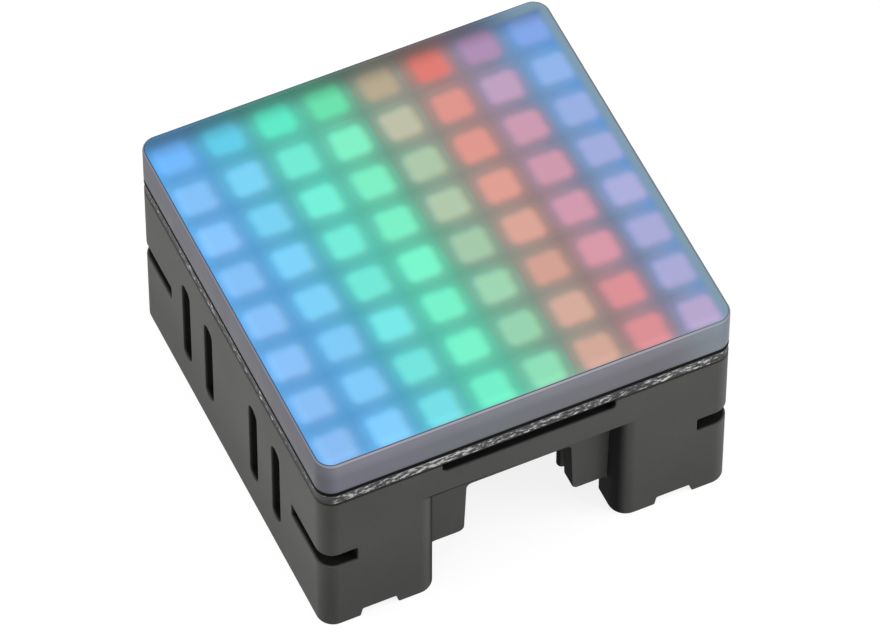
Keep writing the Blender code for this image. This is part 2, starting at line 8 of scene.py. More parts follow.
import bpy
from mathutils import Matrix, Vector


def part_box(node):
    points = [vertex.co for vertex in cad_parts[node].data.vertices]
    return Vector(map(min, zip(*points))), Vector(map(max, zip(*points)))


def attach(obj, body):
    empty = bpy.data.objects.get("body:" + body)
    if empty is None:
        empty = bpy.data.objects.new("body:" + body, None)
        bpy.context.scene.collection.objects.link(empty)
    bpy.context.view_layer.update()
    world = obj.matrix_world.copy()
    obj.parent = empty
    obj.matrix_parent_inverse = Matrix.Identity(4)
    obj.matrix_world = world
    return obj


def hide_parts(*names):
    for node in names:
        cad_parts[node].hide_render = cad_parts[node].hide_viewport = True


bl_info = {
    "name": "RGB display module",
    "version": (1, 0, 0),
    "blender": (4, 5, 0),
    "location": "3D Viewport > Sidebar > Display",
    "description": "Models the pieces, finishes and studio of a small RGB display module",
    "category": "Object",
}

from math import cos, pi, radians, sin

import bmesh
import bpy
from mathutils import Matrix, Vector

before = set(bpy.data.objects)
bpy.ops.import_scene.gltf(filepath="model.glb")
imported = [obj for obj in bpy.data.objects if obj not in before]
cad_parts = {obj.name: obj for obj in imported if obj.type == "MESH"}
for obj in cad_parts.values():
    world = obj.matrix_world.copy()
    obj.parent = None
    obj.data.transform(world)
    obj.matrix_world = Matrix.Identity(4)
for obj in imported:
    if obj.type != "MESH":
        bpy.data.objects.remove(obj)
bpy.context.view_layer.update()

MM = 0.001
BODY = "root"
UP = Vector((0, 0, 1))
# Points nearer to each other than this are one
TOLERANCE = 0.0002 * MM
CORNER_RADIUS = 1.6 * MM

BASE_LOW, BASE_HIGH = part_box("base_housing")
COVER_LOW, COVER_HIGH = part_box("diffuser_cover")
GASKET_LOW, GASKET_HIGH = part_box("gasket_frame")
BOARD_LOW, LED_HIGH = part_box("led_board")
SPACER_LOW, SPACER_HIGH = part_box("board_spacer_1")
SCREW_LOW, SCREW_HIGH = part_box("board_screw_1")
CAN_LOW, CAN_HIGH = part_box("bulk_capacitor_1")
SEAT_GAP = COVER_LOW.z - GASKET_HIGH.z
BOARD_TOP = GASKET_LOW.z - SEAT_GAP
UNDERSIDE = BOARD_LOW.z
BOARD_MIDDLE = (UNDERSIDE + BOARD_TOP) / 2
BOARD_THICKNESS = BOARD_TOP - UNDERSIDE


def linear(code):
    """Linear RGBA of an sRGB hex colour."""
    levels = [int(code[i : i + 2], 16) / 255 for i in (1, 3, 5)]
    return tuple(v / 12.92 if v <= 0.04045 else ((v + 0.055) / 1.055) ** 2.4 for v in levels) + (1.0,)


def length(name, description, millimetres):
    """A length that the user can change."""
    return bpy.props.FloatProperty(
        name=name, description=description, default=millimetres * MM, unit="LENGTH"
    )


def share(name, description, value):
    """A share between 0 and 1 that the user can change."""
    return bpy.props.FloatProperty(
        name=name, description=description, default=value, min=0, max=1, subtype="FACTOR"
    )


def angle(name, description, degrees):
    """An angle that the user can change."""
    return bpy.props.FloatProperty(
        name=name, description=description, default=radians(degrees), subtype="ANGLE"
    )


def colour(name, description, code):
    """A colour that the user can change."""
    return bpy.props.FloatVectorProperty(
        name=name, description=description, size=4, default=linear(code), min=0, max=1, subtype="COLOR"
    )


class StageSettings(bpy.types.PropertyGroup):
    """Camera, floor and lamps."""

    azimuth: angle("Azimuth", "Camera direction round the module, 0 in front", -24.996)
    elevation: angle("Elevation", "Camera height over the floor", 53.137)
    roll: angle("Roll", "Turn of the camera round its own axis", 0.174)
    distance: length("Distance", "From the camera to its aim", 705.5)
    aim_height: length("Aim height", "Height that the camera is aimed at", 11)
    aim_right: length("Aim to the right", "Shift of the aim in the picture", 0.545)
    aim_up: length("Aim upwards", "Shift of the aim in the picture", -0.022)
    lens: bpy.props.FloatProperty(
        name="Lens", description="Focal length on a 36 mm sensor", default=321.43, subtype="DISTANCE_CAMERA"
    )
    floor_colour: colour("Floor", "Colour of the studio floor", "#f4f4f3")
    bounce: share("Bounce", "Share of its light that the floor throws back at the module", 0.1)
    ambient: share("Ambient", "Even light from all round", 0.33)
    key: bpy.props.FloatProperty(name="Key lamp", description="Power of the lamp on the left", default=1.9)
    fill: bpy.props.FloatProperty(
        name="Fill lamp", description="Power of the small lamp at the front right", default=0.145
    )
    top: bpy.props.FloatProperty(name="Top lamp", description="Power of the lamp overhead", default=1.2)


class CoverSettings(bpy.types.PropertyGroup):
    """Smoked diffuser and its glow."""

    corner_radius: length("Corner radius", "Upright corners of the slab", 1.6)
    edge_radius: length("Edge radius", "Soft edge round the top", 0.22)
    foot_radius: length("Foot radius", "Soft edge round the bottom", 0.08)
    ceiling: length("Ceiling", "Clear smoked plastic over the light grid", 1.35)
    skirt: length("Skirt", "Thickness of the wall round the light grid", 0.8)
    pitch: length("LED pitch", "Distance between LEDs", 5)
    count: bpy.props.IntProperty(name="LEDs", description="LEDs along each side", default=8, min=1)
    spot_half: length("Spot half width", "Half of a lit square, to the middle of its soft edge", 1.74)
    spot_corner: length("Spot corner", "Corner radius of a lit square", 0.9)
    spot_blur: length("Spot blur", "Half width of the soft edge", 0.7)
    halo: share("Halo", "Strength of the faint light round each square", 0.38)
    spread: share("Hue spread", "How far apart the LEDs' hues are, in steps of the rainbow", 0.1)
    drift: share("Drift", "LEDs that the rainbow moves to the right for each row nearer the front", 0.1)
    side_colour: colour("Sides", "Satin sides of the smoked slab", "#76757e")


class BaseSettings(bpy.types.PropertyGroup):
    """Moulded base."""

    edge: length("Edge radius", "Softening of the moulded edges", 0.12)
    plastic: colour("Plastic", "Colour of the base", "#595a57")
    grain: length("Grain", "Width of the spark-eroded grain", 0.22)
    # Painted shade in the recesses
    recess_shade: share("Recess shade", "How much darker the recesses are", 0.985)


class BoardSettings(bpy.types.PropertyGroup):
    """LED board and its parts."""

    edge_step: length("Edge step", "Length of a face along the routed edge", 0.14)
    edge_rows: bpy.props.IntProperty(name="Edge rows", description="Rows of faces on the edge", default=10)
    edge_bite: length("Edge bite", "Depth of the torn fibres in the routed edge", 0.11)
    led_side: length("LED side", "Side of an LED package", 2.8)
    led_height: length("LED height", "Height of an LED package", 1.2)
    mask: colour("Solder mask", "Lacquer on both faces", "#1b1b1d")


class PartSettings(bpy.types.PropertyGroup):
    """Fixings, sockets and the parts under the board."""

    thread_pitch: length("Thread pitch", "Rise of the screws' thread for each turn", 0.4)
    thread_depth: length("Thread depth", "Height of a tooth of the thread", 0.22)
    pin_pitch: length("Pin pitch", "Distance between the sockets' pins", 2)
    chip_pitch: length("Chip lead pitch", "Distance between the leads of the driver chip", 0.65)
    print_width: length("Print width", "Width of the screen-printed lines", 0.18)


class ModuleSettings(bpy.types.PropertyGroup):
    """All that a user would change."""

    stage: bpy.props.PointerProperty(type=StageSettings)
    cover: bpy.props.PointerProperty(type=CoverSettings)
    base: bpy.props.PointerProperty(type=BaseSettings)
    board: bpy.props.PointerProperty(type=BoardSettings)
    parts: bpy.props.PointerProperty(type=PartSettings)


def settings():
    """The settings of the open scene."""
    return bpy.context.scene.display_module


def select_only(piece):
    """Leave one object selected and active."""
    bpy.ops.object.select_all(action="DESELECT")
    piece.select_set(True)
    bpy.context.view_layer.objects.active = piece


def edit(piece):
    """Open a piece in edit mode with all of it selected."""
    select_only(piece)
    bpy.ops.object.mode_set(mode="EDIT")
    bpy.ops.mesh.select_mode(type="VERT")
    bpy.ops.mesh.select_all(action="SELECT")


def close():
    """Leave edit mode."""
    bpy.ops.object.mode_set(mode="OBJECT")


def pick(piece, kind, test):
    """In edit mode, select only the faces, edges or vertices that pass a test."""
    bpy.ops.mesh.select_mode(type=kind)
    bpy.ops.mesh.select_all(action="DESELECT")
    mesh = bmesh.from_edit_mesh(piece.data)
    for part in {"VERT": mesh.verts, "EDGE": mesh.edges, "FACE": mesh.faces}[kind]:
        if test(part):
            part.select = True
    mesh.select_flush_mode()
    bmesh.update_edit_mesh(piece.data)


def upright(edge):
    """True for an edge along Z."""
    run = edge.verts[1].co - edge.verts[0].co
    return abs(run.z) > 0.99 * run.length


def at_height(height):
    """A test for edges or faces that lie at one height."""
    return lambda part: all(abs(v.co.z - height) < TOLERANCE for v in part.verts)


def rim_at(height):
    """A test for the edges round a flat face at one height."""
    flat = at_height(height)
    return lambda edge: flat(edge) and any(abs(f.normal.z) < 0.9 for f in edge.link_faces)


def name_piece(name):
    """Name the active object, and put its place and size in its mesh."""
    piece = bpy.context.object
    piece.name = piece.data.name = name
    bpy.ops.object.transform_apply(location=True, rotation=True, scale=True)
    return piece


def box_piece(name, low, high):
    """A box between two corners."""
    low, high = Vector(low), Vector(high)
    bpy.ops.object.select_all(action="DESELECT")
    bpy.ops.mesh.primitive_cube_add(size=1, location=(low + high) / 2, scale=high - low)
    return name_piece(name)


def frame_piece(name, low, high, width, radius=0, segments=8):
    """An upright frame between two corners, with its outer corners rounded by a radius."""
    piece = box_piece(name, low, high)
    edit(piece)
    if radius:
        pick(piece, "EDGE", upright)
        bpy.ops.mesh.bevel(offset=radius, segments=segments, profile=0.5, affect="EDGES")
    pick(piece, "FACE", lambda face: abs(face.normal.z) > 0.9)
    bpy.ops.mesh.inset(thickness=width)
    bpy.ops.mesh.bridge_edge_loops()
    tidy_faces()
    close()
    return piece


def line_piece(name, profile):
    """A line of edges through radius and height points, all selected in edit mode."""
    points = [Vector((radius, 0, height)) for radius, height in profile]
    bpy.ops.object.select_all(action="DESELECT")
    bpy.ops.mesh.primitive_plane_add(size=MM, location=points[0])
    piece = name_piece(name)
    edit(piece)
    bpy.ops.mesh.merge(type="CENTER")
    for start, end in zip(points, points[1:]):
        bpy.ops.mesh.extrude_region_move(TRANSFORM_OT_translate={"value": end - start})
    bpy.ops.mesh.select_all(action="SELECT")
    return piece


def turned_piece(name, centre, profile, steps=32):
    """A solid of revolution round an upright axis, from radius and height points."""
    piece = line_piece(name, profile)
    bpy.ops.mesh.spin(steps=steps, angle=2 * pi, center=(0, 0, 0), axis=UP)
    tidy_faces()
    bpy.ops.transform.translate(value=(centre[0], centre[1], 0))
    close()
    return piece


def tidy_faces():
    """In edit mode, merge doubled points and turn every face outwards."""
    bpy.ops.mesh.select_all(action="SELECT")
    bpy.ops.mesh.remove_doubles(threshold=TOLERANCE)
    bpy.ops.mesh.normals_make_consistent(inside=False)


def grow(piece, test, *moves):
    """Extrude the picked faces step by step. Each move is a translation and a scale of the end."""
    edit(piece)
    pick(piece, "FACE", test)
    for step, scale in moves:
        bpy.ops.mesh.extrude_region_move(TRANSFORM_OT_translate={"value": step})
        bpy.ops.transform.resize(value=scale)
    tidy_faces()
    close()


def apply_modifier(piece, kind, **values):
    """Add a modifier, set it and apply it."""
    select_only(piece)
    step = piece.modifiers.new(kind.lower(), kind)
    for key, value in values.items():
        setattr(step, key, value)
    bpy.ops.object.modifier_apply(modifier=step.name)


def cut_with(piece, cutter):
    """Cut a piece with another one, which is used up."""
    apply_modifier(piece, "BOOLEAN", object=cutter, operation="DIFFERENCE", solver="EXACT")
    bpy.data.objects.remove(cutter, do_unlink=True)


def repeat(piece, count, step):
    """Copy a piece several times along a line, as one object."""
    apply_modifier(
        piece,
        "ARRAY",
        count=count,
        use_relative_offset=False,
        use_constant_offset=True,
        constant_offset_displace=step,
    )


def mirror(piece, x=False, y=False):
    """Add a piece's mirror image across the module's middle."""
    apply_modifier(piece, "MIRROR", use_axis=(x, y, False), use_mirror_merge=False)


def soften(piece, width, segments=2, limit=35):
    """Round the sharp edges of a piece, and shade it smooth across them."""
    apply_modifier(
        piece,
        "BEVEL",
        width=width,
        segments=segments,
        limit_method="ANGLE",
        angle_limit=radians(limit),
        use_clamp_overlap=False,
        miter_outer="MITER_ARC",
    )
    smooth(piece)
    apply_modifier(piece, "WEIGHTED_NORMAL", keep_sharp=True)


def smooth(piece, limit=35):
    """Shade a piece smooth, apart from its sharp edges."""
    select_only(piece)
    bpy.ops.object.shade_smooth_by_angle(angle=radians(limit))


def keep_inside(piece, low, high):
    """Pull back onto the solid's box what a bevel threw past it, where a round edge runs out."""
    for point in piece.data.vertices:
        point.co = [min(max(at, least), most) for at, least, most in zip(point.co, low, high)]


def join(name, pieces):
    """Make one object of several."""
    select_only(pieces[0])
    for piece in pieces:
        piece.select_set(True)
    bpy.ops.object.join()
    pieces[0].name = pieces[0].data.name = name
    return pieces[0]


def copied(piece, name, step):
    """A copy of a piece with its own mesh, moved by a step."""
    twin = bpy.data.objects.new(name, piece.data.copy())
    twin.data.name = name
    bpy.context.scene.collection.objects.link(twin)
    edit(twin)
    bpy.ops.transform.translate(value=step)
    close()
    return twin


def copy_of_node(node_name, name):
    """A copy of a packed solid, merged so that it can be softened."""
    piece = bpy.data.objects.new(name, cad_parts[node_name].data.copy())
    piece.data.name = name
    bpy.context.scene.collection.objects.link(piece)
    piece.data.materials.clear()
    edit(piece)
    bpy.ops.mesh.customdata_custom_splitnormals_clear()
    bpy.ops.mesh.remove_doubles(threshold=0.001 * MM)
    bpy.ops.mesh.dissolve_limited(angle_limit=radians(0.3))
    close()
    return piece


def middle_of(node_name):
    """Centre of a packed solid in plan."""
    low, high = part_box(node_name)
    return Vector(((low.x + high.x) / 2, (low.y + high.y) / 2, 0))


def dress(piece, *finishes):
    """Give a piece its finishes. They keep to their faces when it is joined to others."""
    piece.data.materials.clear()
    for finish in finishes:
        piece.data.materials.append(finish)
    return piece


def seat(piece, nodes=()):
    """Put a finished piece on the body, with the solids that it stands for."""
    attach(piece, BODY)
    if nodes:
        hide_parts(*nodes)


def paint(piece, index, test):
    """Give the faces that pass a test the piece's finish of that number."""
    for face in piece.data.polygons:
        if test(face):
            face.material_index = index


# Settings that many nodes share: a soft step, and a mix of colours, which has its own output
SMOOTH = {"interpolation_type": "SMOOTHSTEP"}
COLOURS = {"out": 2, "data_type": "RGBA"}


def node(tree, kind, links=None, out=0, **values):
    """Add a shader node and return one of its outputs.

    links gives its inputs, by name or number, each a value or the socket that feeds it.
    """
    made = tree.nodes.new(f"ShaderNode{kind}")
    for key, value in values.items():
        setattr(made, key, value)
    for key, source in (links or {}).items():
        if isinstance(source, bpy.types.NodeSocket):
            tree.links.new(source, made.inputs[key])
        else:
            made.inputs[key].default_value = source
    return made.outputs[out]


def feed(shader, sockets):
    """Link inputs of a shader, by name, to the sockets that feed them."""
    for key, socket in sockets.items():
        shader.id_data.links.new(socket, shader.inputs[key])


def finish(maker, *looks):
    """The finish that a maker makes, made when it is first asked for."""
    return bpy.data.materials.get(maker.__name__) or maker(*looks)


def new_finish(name, constants):
    """A material with constant values on its Principled node. Returns it, its tree and that node."""
    made = bpy.data.materials.new(name)
    made.use_nodes = True
    shader = made.node_tree.nodes["Principled BSDF"]
    for key, value in constants.items():
        shader.inputs[key].default_value = value
    return made, made.node_tree, shader


def stops(ramp, colours):
    """Set the stops of the colour ramp that an output is of, from (position, colour) pairs."""
    elements = ramp.node.color_ramp.elements
    while len(elements) < len(colours):
        elements.new(0.5)
    for element, (position, value) in zip(elements, colours):
        element.position = position
        element.color = value
    return ramp


def scaled_colour(value, factor):
    """A colour made darker or lighter."""
    return [min(1, level * factor) for level in value[:3]] + [1]


def facing_sideways(tree):
    """How far a face looks to the left or right, from 0 to 1."""
    normal = node(tree, "NewGeometry", out="Normal")
    return node(tree, "Math", {0: node(tree, "SeparateXYZ", {0: normal}, out="X")}, operation="ABSOLUTE")


def length_in_plan(tree, vector):
    """Length of a vector without its height."""
    flat = node(tree, "VectorMath", {0: vector, 1: (1, 1, 0)}, operation="MULTIPLY")
    return node(tree, "VectorMath", {0: flat}, out="Value", operation="LENGTH")


def past_corner(tree, place, corner):
    """How far a place lies past a corner on each axis, in any quarter, and how far from it in plan."""
    folded = node(tree, "VectorMath", {0: place}, operation="ABSOLUTE")
    past = node(tree, "VectorMath", {0: folded, 1: corner}, operation="SUBTRACT")
    outside = node(tree, "VectorMath", {0: past, 1: (0, 0, 0)}, operation="MAXIMUM")
    return past, length_in_plan(tree, outside)


def moulded_abs_spark_grain(look):
    """ABS moulded in a spark-eroded tool: a dark warm grey, matte, with a fine even grain."""
    made, tree, shader = new_finish("moulded_abs_spark_grain", {"IOR": 1.54, "Specular IOR Level": 0.2})
    place = node(tree, "TexCoord", out="Object")
    # Real spark grain is about 0.1 mm wide, too fine for the render, so it is drawn coarser
    fine = {"Vector": place, "Scale": 1 / look.grain, "Detail": 2.0, "Roughness": 0.6}
    grain = node(tree, "TexNoise", fine)
    flow = node(tree, "TexNoise", {"Vector": place, "Scale": 1 / (9 * MM), "Detail": 3.0})
    mottle = node(tree, "Math", {0: grain, 1: flow}, operation="ADD")
    level = node(tree, "MapRange", {"Value": mottle, "From Min": 0.7, "From Max": 1.3})
    dark, light = (scaled_colour(look.plastic, factor) for factor in (0.87, 1.13))
    tint = node(tree, "Mix", {0: level, 6: dark, 7: light}, **COLOURS)
    # Painted light and shade: the walls are a little paler high up and darker towards the foot, most of all
    # the slotted ones
    height = node(tree, "SeparateXYZ", {0: place}, out="Z")
    foot = node(tree, "Math", {0: facing_sideways(tree), 1: -0.2, 2: 0.8}, operation="MULTIPLY_ADD")
    foot_shade_range = {"From Min": 1 * MM, "From Max": 12 * MM, "To Min": foot, "To Max": 1.03}
    foot_shade = node(tree, "MapRange", {"Value": height, **foot_shade_range}, **SMOOTH)
    # Painted shade: the recesses are darkened by the recess shade setting, and made rougher
    dull = recess_depth(tree, place)
    painted_shade_factor = node(tree, "MapRange", {"Value": dull, "To Min": 1, "To Max": 1 - look.recess_shade})
    for factor in (foot_shade, painted_shade_factor):
        tint = node(tree, "VectorMath", {0: tint, "Scale": factor}, operation="SCALE")
    rough = node(tree, "MapRange", {"Value": grain, "To Min": 0.5, "To Max": 0.68})
    rougher = node(tree, "Math", {0: dull, 1: 0.38, 2: rough}, operation="MULTIPLY_ADD")
    bump = node(tree, "Bump", {"Height": grain, "Strength": 0.35, "Distance": 0.03 * MM})
    feed(shader, {"Base Color": tint, "Roughness": rougher, "Normal": bump})
    return made


def inwards(tree, place, radius):
    """Depth below a square outline with round corners, and whether a left or right side is nearest."""
    past, reach = past_corner(tree, place, (BASE_HIGH.x - radius, BASE_HIGH.y - radius, 0))
    x, y, _ = node(tree, "SeparateXYZ", {0: past}).node.outputs
    larger = node(tree, "Math", {0: x, 1: y}, operation="MAXIMUM")
    inner = node(tree, "Math", {0: larger, 1: 0.0}, operation="MINIMUM")
    both = node(tree, "Math", {0: reach, 1: inner}, operation="ADD")
    depth = node(tree, "Math", {0: radius, 1: both}, operation="SUBTRACT")
    return depth, node(tree, "Math", {0: x, 1: y}, operation="GREATER_THAN")


def recess_depth(tree, place):
    """Where shade is painted: 1 deep in the slots, notches, channels and jogs, on the faces that look
    sideways, else 0.
    """
    depth, on_side = inwards(tree, place, CORNER_RADIUS)
    normal = node(tree, "NewGeometry", out="Normal")
    turned = node(tree, "VectorMath", {0: normal}, operation="ABSOLUTE")
    turned_x, turned_y, _ = node(tree, "SeparateXYZ", {0: turned}).node.outputs
    facing = node(tree, "Mix", {0: on_side, 2: turned_y, 3: turned_x})
    folded = node(tree, "VectorMath", {0: place}, operation="ABSOLUTE")
    across = node(tree, "SeparateXYZ", {0: folded}, out="X")
    # Behind the walls only the panels and guide ribs of the cut-outs get painted shade
    wall_depth, cutout_half = 1.9 * MM, 9.5 * MM
    wall = node(tree, "Math", {0: depth, 1: wall_depth}, operation="LESS_THAN")
    middle = node(tree, "Math", {0: across, 1: cutout_half}, operation="LESS_THAN")
    result = node(tree, "Math", {0: wall, 1: middle}, operation="MAXIMUM")
    for value, start, end in ((facing, 0.985, 0.55), (depth, 0.02 * MM, 0.32 * MM)):
        step = node(tree, "MapRange", {"Value": value, "From Min": start, "From Max": end}, **SMOOTH)
        result = node(tree, "Math", {0: result, 1: step}, operation="MULTIPLY")
    return result


# Colour ramps of the running rainbow, by place along the back row counted in LEDs: first of the lit
# squares, then of the field between them
SPOT_HUES = (
    (-1.0, "#8cbaee"), (0.0, "#86c6fc"), (0.9, "#7ad3f2"), (1.6, "#76ecdd"),
    (2.3, "#76f6cd"), (3.0, "#82eabe"), (3.6, "#a1cead"), (4.2, "#ceae9c"),
    (5.0, "#e79289"), (5.4, "#e09499"), (6.0, "#c2a2c1"), (7.0, "#90b6ec"),
)
FIELD_HUES = (
    (-1.0, "#5696cd"), (0.3, "#589ed0"), (1.0, "#52a4bb"), (1.5, "#56aeab"), (2.1, "#56b8a5"),
    (2.9, "#60b297"), (3.4, "#6c9a87"), (4.1, "#889085"), (5.0, "#937f7d"), (5.4, "#94828c"),
    (6.0, "#768097"), (6.4, "#6e90b5"), (7.0, "#5c94cd"),
)
RAINBOW_START, RAINBOW_LENGTH = -1.0, 8.0
# What the polished top reflects of the white room, and what it lets through
VEIL = 0.045
CLEARNESS = 0.9
# Where the squares of a package's red, green and blue dies lie, in LEDs from its middle
DIE_SHIFTS = ((0.014, -0.014, 0), (0, 0.005, 0), (-0.018, 0.012, 0))


def rainbow(tree, along, hues):
    """The rainbow's colour at a place along it, counted in LEDs."""
    ends = {"From Min": RAINBOW_START, "From Max": RAINBOW_START + RAINBOW_LENGTH}
    ramp = node(tree, "ValToRGB", {"Fac": node(tree, "MapRange", {"Value": along, **ends})})
    lit = [[max(level - VEIL, 0) / CLEARNESS for level in linear(code)[:3]] + [1] for _, code in hues]
    return stops(ramp, [((at - RAINBOW_START) / RAINBOW_LENGTH, glow) for (at, _), glow in zip(hues, lit)])


def led_grid(tree, look):
    """Place in the LED grid: counted in LEDs from the left and front, and the whole number of its LED."""
    place = node(tree, "TexCoord", out="Object")
    scaled = node(tree, "VectorMath", {0: place, 1: (1 / look.pitch,) * 3}, operation="MULTIPLY")
    half = look.count / 2
    counted = node(tree, "VectorMath", {0: scaled, 1: (half, half, 0)}, operation="ADD")
    return counted, node(tree, "VectorMath", {0: counted}, operation="FLOOR")


def along_rainbow(tree, spot, look, offset):
    """How far along the rainbow a place of the grid is."""
    x, y, _ = node(tree, "SeparateXYZ", {0: spot}).node.outputs
    drifted = node(tree, "Math", {0: y, 1: look.drift, 2: x}, operation="MULTIPLY_ADD")
    start = look.drift * (look.count - 1) + offset * (1 + look.drift)
    return node(tree, "Math", {0: drifted, 1: start}, operation="SUBTRACT")


def frosted_acrylic_lit(look):
    """Acrylic frosted on its underside and lit by the LEDs: soft squares in a deeper field of their hues."""
    constants = {"IOR": 1.49, "Roughness": 0.7, "Specular IOR Level": 0.0, "Emission Strength": 1.0}
    made, tree, shader = new_finish("frosted_acrylic_lit", {"Base Color": linear("#141416"), **constants})
    # The plate's glow is painted light: emission that stands for the LEDs' light in the frost
    counted, cell = led_grid(tree, look)
    # No two LEDs are quite alike in hue and brightness
    lots = node(tree, "TexWhiteNoise", {"Vector": cell}, out="Color")
    hue_lot, level_lot, _ = node(tree, "SeparateXYZ", {0: lots}).node.outputs
    stray = node(tree, "MapRange", {"Value": hue_lot, "To Min": -look.spread, "To Max": look.spread})
    bright = node(tree, "MapRange", {"Value": level_lot, "To Min": 0.94, "To Max": 1.04})
    own_place = node(tree, "Math", {0: along_rainbow(tree, cell, look, 0.0), 1: stray}, operation="ADD")
    # The back row is drawn deeper in its main hue
    row = node(tree, "SeparateXYZ", {0: cell}, out="Y")
    last_row = {"From Min": look.count - 2, "From Max": look.count - 1, "To Min": 1, "To Max": 1.3}
    depth = node(tree, "MapRange", {"Value": row, **last_row})
    deep = node(tree, "Gamma", {"Color": rainbow(tree, own_place, SPOT_HUES), "Gamma": depth})
    spot = node(tree, "VectorMath", {0: deep, "Scale": bright}, operation="SCALE")
    field = rainbow(tree, along_rainbow(tree, counted, look, 0.5), FIELD_HUES)
    inputs = {1: lit_squares(tree, look, counted, cell), 4: field, 5: spot}
    mixed = node(tree, "Mix", inputs, out=1, data_type="VECTOR", factor_mode="NON_UNIFORM")
    edged = node(tree, "VectorMath", {0: mixed, "Scale": edge_light(tree)}, operation="SCALE")
    feed(shader, {"Emission Color": with_rim(tree, look, counted, edged)})
    return made


def edge_light(tree):
    """The plate's front and left edges throw light back into it, and its rear edge loses light."""
    split = node(tree, "SeparateXYZ", {0: node(tree, "TexCoord", out="Object")}).node.outputs
    result = 1.0
    for axis, start, end, level in (("Y", 17.3, 20, 0.4), ("Y", -18, -19.6, 1.22), ("X", -18, -19.6, 1.16)):
        ends = {"From Min": start * MM, "From Max": end * MM, "To Min": 1, "To Max": level}
        step = node(tree, "MapRange", {"Value": split[axis], **ends}, **SMOOTH)
        result = node(tree, "Math", {0: result, 1: step}, operation="MULTIPLY")
    return result


def lit_squares(tree, look, counted, cell):
    """How bright each colour is in and near the lit squares, from 0 to 1."""
    # The frost scatters each square's edge a little unevenly
    place = node(tree, "TexCoord", out="Object")
    ripple = node(tree, "TexNoise", {"Vector": place, "Scale": 1 / (2.5 * MM), "Detail": 1.0}, out="Color")
    waver = node(tree, "VectorMath", {0: ripple, 1: (-0.5, -0.5, 0)}, operation="ADD")
    local = node(tree, "VectorMath", {0: counted, 1: cell}, operation="SUBTRACT")
    middle = node(tree, "VectorMath", {0: local, 1: (-0.5, -0.5, 0)}, operation="ADD")
    shifted = node(tree, "VectorMath", {0: waver, 1: (0.07, 0.07, 0), 2: middle}, operation="MULTIPLY_ADD")
    # Round each square a faint halo spreads through the frost
    fade = {"From Min": 0.26, "From Max": 0.74, "To Min": look.halo, "To Max": 0}
    halo = node(tree, "MapRange", {"Value": length_in_plan(tree, middle), **fade}, **SMOOTH)
    core = (look.spot_half - look.spot_corner) / look.pitch
    edge = look.spot_corner / look.pitch
    blur = look.spot_blur / look.pitch
    levels = []
    # The dies of a package lie side by side, so their squares don't quite coincide
    for die in DIE_SHIFTS:
        moved = node(tree, "VectorMath", {0: shifted, 1: die}, operation="SUBTRACT")
        _, reach = past_corner(tree, moved, (core, core, 0))
        ends = {"From Min": edge + blur, "From Max": edge - blur}
        level = node(tree, "MapRange", {"Value": reach, **ends}, **SMOOTH)
        levels.append(node(tree, "Math", {0: level, 1: halo}, operation="MAXIMUM", use_clamp=True))
    return node(tree, "CombineXYZ", dict(enumerate(levels)))


def near_right(tree, look, counted):
    """0 to 1 over the last LED on the right, where the smoked rim isn't lit from below."""
    along = node(tree, "SeparateXYZ", {0: counted}, out="X")
    ends = {"From Min": look.count - 1.4, "From Max": look.count - 0.35}
    return node(tree, "MapRange", {"Value": along, **ends}, **SMOOTH)


def with_rim(tree, look, counted, lit):
    """Over the skirt the plate turns to the plain grey of the plastic on the right, softly."""
    half = look.count / 2
    centred = node(tree, "VectorMath", {0: counted, 1: (half, half, 0)}, operation="SUBTRACT")
    folded = node(tree, "VectorMath", {0: centred}, operation="ABSOLUTE")
    x, y, _ = node(tree, "SeparateXYZ", {0: folded}).node.outputs
    outwards = node(tree, "Math", {0: x, 1: y}, operation="MAXIMUM")
    skirt = look.skirt / look.pitch
    ends = {"From Min": half - 1.5 * skirt, "From Max": half - 0.4 * skirt, "To Max": 0.85}
    past = node(tree, "MapRange", {"Value": outwards, **ends}, **SMOOTH)
    strength = node(tree, "Math", {0: near_right(tree, look, counted), 1: past}, operation="MULTIPLY")
    # Painted light: the grey is mixed into the glow
    return node(tree, "Mix", {0: strength, 6: lit, 7: linear("#7c98a6")}, **COLOURS)


def smoked_acrylic_polished():
    """Smoked acrylic from a polished mould face: clear, a little grey, glossy with faint wipe marks."""
    constants = {"Base Color": linear("#f2f3f6"), "Transmission Weight": 1.0, "IOR": 1.49}
    made, tree, shader = new_finish("smoked_acrylic_polished", constants)
    place = node(tree, "TexCoord", out="Object")
    wiped = node(tree, "VectorMath", {0: place, 1: (1, 0.2, 1)}, operation="MULTIPLY")
    marks = node(tree, "TexNoise", {"Vector": wiped, "Scale": 1 / (2.2 * MM), "Detail": 3.0})
    feed(shader, {"Roughness": node(tree, "MapRange", {"Value": marks, "To Min": 0.03, "To Max": 0.09})})
    return made


# Painted light and shade on the cover's sides: how bright they are by height, from the darker foot to the
# rounded top edge, with a painted pale strip and thin painted dark lines near the top
SATIN_LIGHT_LEVELS = (
    (0.0, 0.6), (0.1, 0.87), (0.5, 0.95), (0.7, 1.2), (0.91, 1.38),
    (0.935, 0.9), (0.95, 2.2), (0.99, 2.4), (0.995, 0.6),
)


